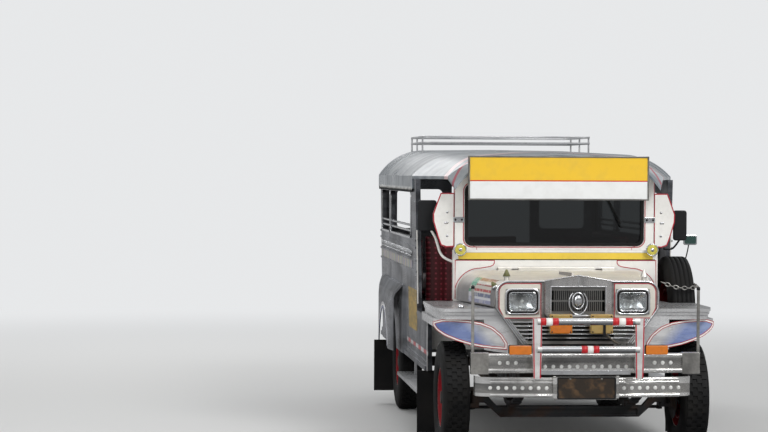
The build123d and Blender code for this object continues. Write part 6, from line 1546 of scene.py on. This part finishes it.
stripes = [(station(0.7) + 0.2 * i, "b9333a" if i % 2 else "c9c6c6") for i in range(10)]
finish["sideTape"] = axisBands("sideTape", "Y", station(0.7), station(2.7), stripes)
finish["beltPanels"] = blotchedBands("paintedPanels", blockColours, 0.46, 0.54, 2, 0.45, "55555c")
finish["yellowPanel"] = yellowSheet("yellowPanel")
buildSides()
print("sides done")


# Seats
seatRun = station(1.190), station(1.6395)
backRun = station(1.640), station(1.740)
benchRun = station(1.900), station(4.640)
seats = {
    # name: X from and to, Y from and to, Z from and to, axis of the crown, number of sewn channels
    "seatCushionLeft": ((0.150, 0.650), seatRun, (0.8805, 0.990), "Z", 3),
    "seatCushionRight": ((-0.870, -0.190), seatRun, (0.8805, 0.990), "Z", 4),
    "seatBackLeft": ((0.150, 0.650), backRun, (0.820, 1.455), "-Y", 3),
    "seatBackRight": ((-0.870, -0.190), backRun, (0.820, 1.455), "-Y", 4),
    "benchCushionLeft": ((0.545, 0.8787), benchRun, (0.9853, 1.075), "Z", 9),
    "benchCushionRight": ((-0.8787, -0.545), benchRun, (0.9853, 1.075), "Z", 9),
    "benchBackLeft": ((0.8455, 0.9055), benchRun, (1.110, 1.420), "-X", 9),
    "benchBackRight": ((-0.9055, -0.8455), benchRun, (1.110, 1.420), "X", 9),
}
sewing = {"cell": 0.028, "fewest": 4, "most": 60, "seamDepth": 0.28, "seamWidth": 0.09, "edge": 0.55}


def paddedBox(name, low, high, crown, channels):
    size, middle = high - low, (low + high) / 2
    counts = [max(sewing["fewest"], min(sewing["most"], int(length / sewing["cell"]))) for length in size]
    axis, sign = "XYZ".index(crown[-1]), -1 if crown[0] == "-" else 1
    others = [i for i in range(3) if i != axis]
    run = max(others, key=lambda i: size[i]) if name.startswith("bench") else 0
    index, points, faces = {}, [], []

    def vertex(key):
        if key in index:
            return index[key]
        unit = Vector([2 * n / count - 1 for n, count in zip(key, counts)])
        spot = unit.copy()
        if unit[axis] * sign > 0:
            bulge = (1 - unit[others[0]] ** 4) * (1 - unit[others[1]] ** 4)
            share, seam = (unit[run] + 1) / 2 * (channels + 1), 1.0
            if 0 < round(share) < channels + 1:
                gap = abs(share - round(share))
                seam = 1 - sewing["seamDepth"] * math.exp(-(gap / sewing["seamWidth"]) ** 2)
            spot[axis] *= (sewing["edge"] + (1 - sewing["edge"]) * bulge ** 0.5) * seam
        for o, other in (others, others[::-1]):
            spot[o] *= 1 - 0.02 * (1 - unit[other] ** 2) - 0.03 * abs(unit[axis]) ** 3
        index[key] = len(points)
        points.append([middle[c] + spot[c] * size[c] / 2 for c in range(3)])
        return index[key]

    for c in range(3):
        u, v = (c + 1) % 3, (c + 2) % 3
        for end in (0, counts[c]):
            for a in range(counts[u]):
                for b in range(counts[v]):
                    corners = []
                    for da, db in ((0, 0), (1, 0), (1, 1), (0, 1)):
                        key = [0, 0, 0]
                        key[c], key[u], key[v] = end, a + da, b + db
                        corners.append(vertex(tuple(key)))
                    faces.append(tuple(corners))
    piece = addPiece(name, points, faces, smooth=True)
    soften = piece.modifiers.new("soften", "SUBSURF")
    soften.levels = 1
    soften.render_levels = 1
    return piece


def buildSeats():
    for name, (*extents, crown, channels) in seats.items():
        low, high = (Vector(corner) for corner in zip(*extents))
        piece = paddedBox(name, low, high, crown, channels)
        target = "bench_seats" if name.startswith("bench") else "front_seats"
        dress(piece, "maroonVinyl", replaces=[target])


buildSeats()
print("seats done")


# Spare wheel's chain
chainRun = (
    (0.735, -1.500, 1.150), (0.80, -1.514, 1.120), (0.90, -1.514, 1.112), (0.97, -1.506, 1.118),
    (0.992, -1.43, 1.125), (0.992, -1.25, 1.13),
)
chain = grow("spareChain", chainLinks, wirePath("chainRun", chainRun, True), {"Pitch": 0.03}, "hammeredSteel")
dress(chain, "hammeredSteel", slot="dark_slats")
print("spare wheel done")


# Finishes of the nodes that stay as they came
nodeFinish = {
    "noseSteel": ["nose_panel"],
    "shellSteel": ["grille_shell"],
    "hoodSteel": ["hood"],
    "wingSteel": ["fenders"],
    "stainless": ["roof_rack", "steps"],
    "bumperSteel": ["upper_bumper", "lower_bumper"],
    "sideSteel": ["side_walls", "rear_wall"],
    "postPaint": ["push_bar"],
    "whitePaint": ["cowl", "windshield_frame"],
    "roofPaint": ["roof"],
    "signFace": ["sign_board"],
    "barSteel": ["grille_slats"],
    "darkSlats": ["radiator"],
    "windowGlass": ["windshield_glass"],
    "darkPlastic": ["steering_wheel", "seat_bases"],
    "flapRubber": ["mudflaps"],
    "frameBlack": [
        "chassis_frame", "front_axle", "rear_axle", "leaf_springs", "knuckle_left", "knuckle_right",
        "tie_rod", "propeller_shaft",
    ],
    "engineIron": ["engine"],
    "exhaustSteel": ["exhaust"],
    "tankPaint": ["fuel_tank"],
    "floorPlate": ["floor"],
}
for label, names in nodeFinish.items():
    for name in names:
        for holder in nodes[name].material_slots:
            holder.material = finish[label]
print("carried-over pieces finished")
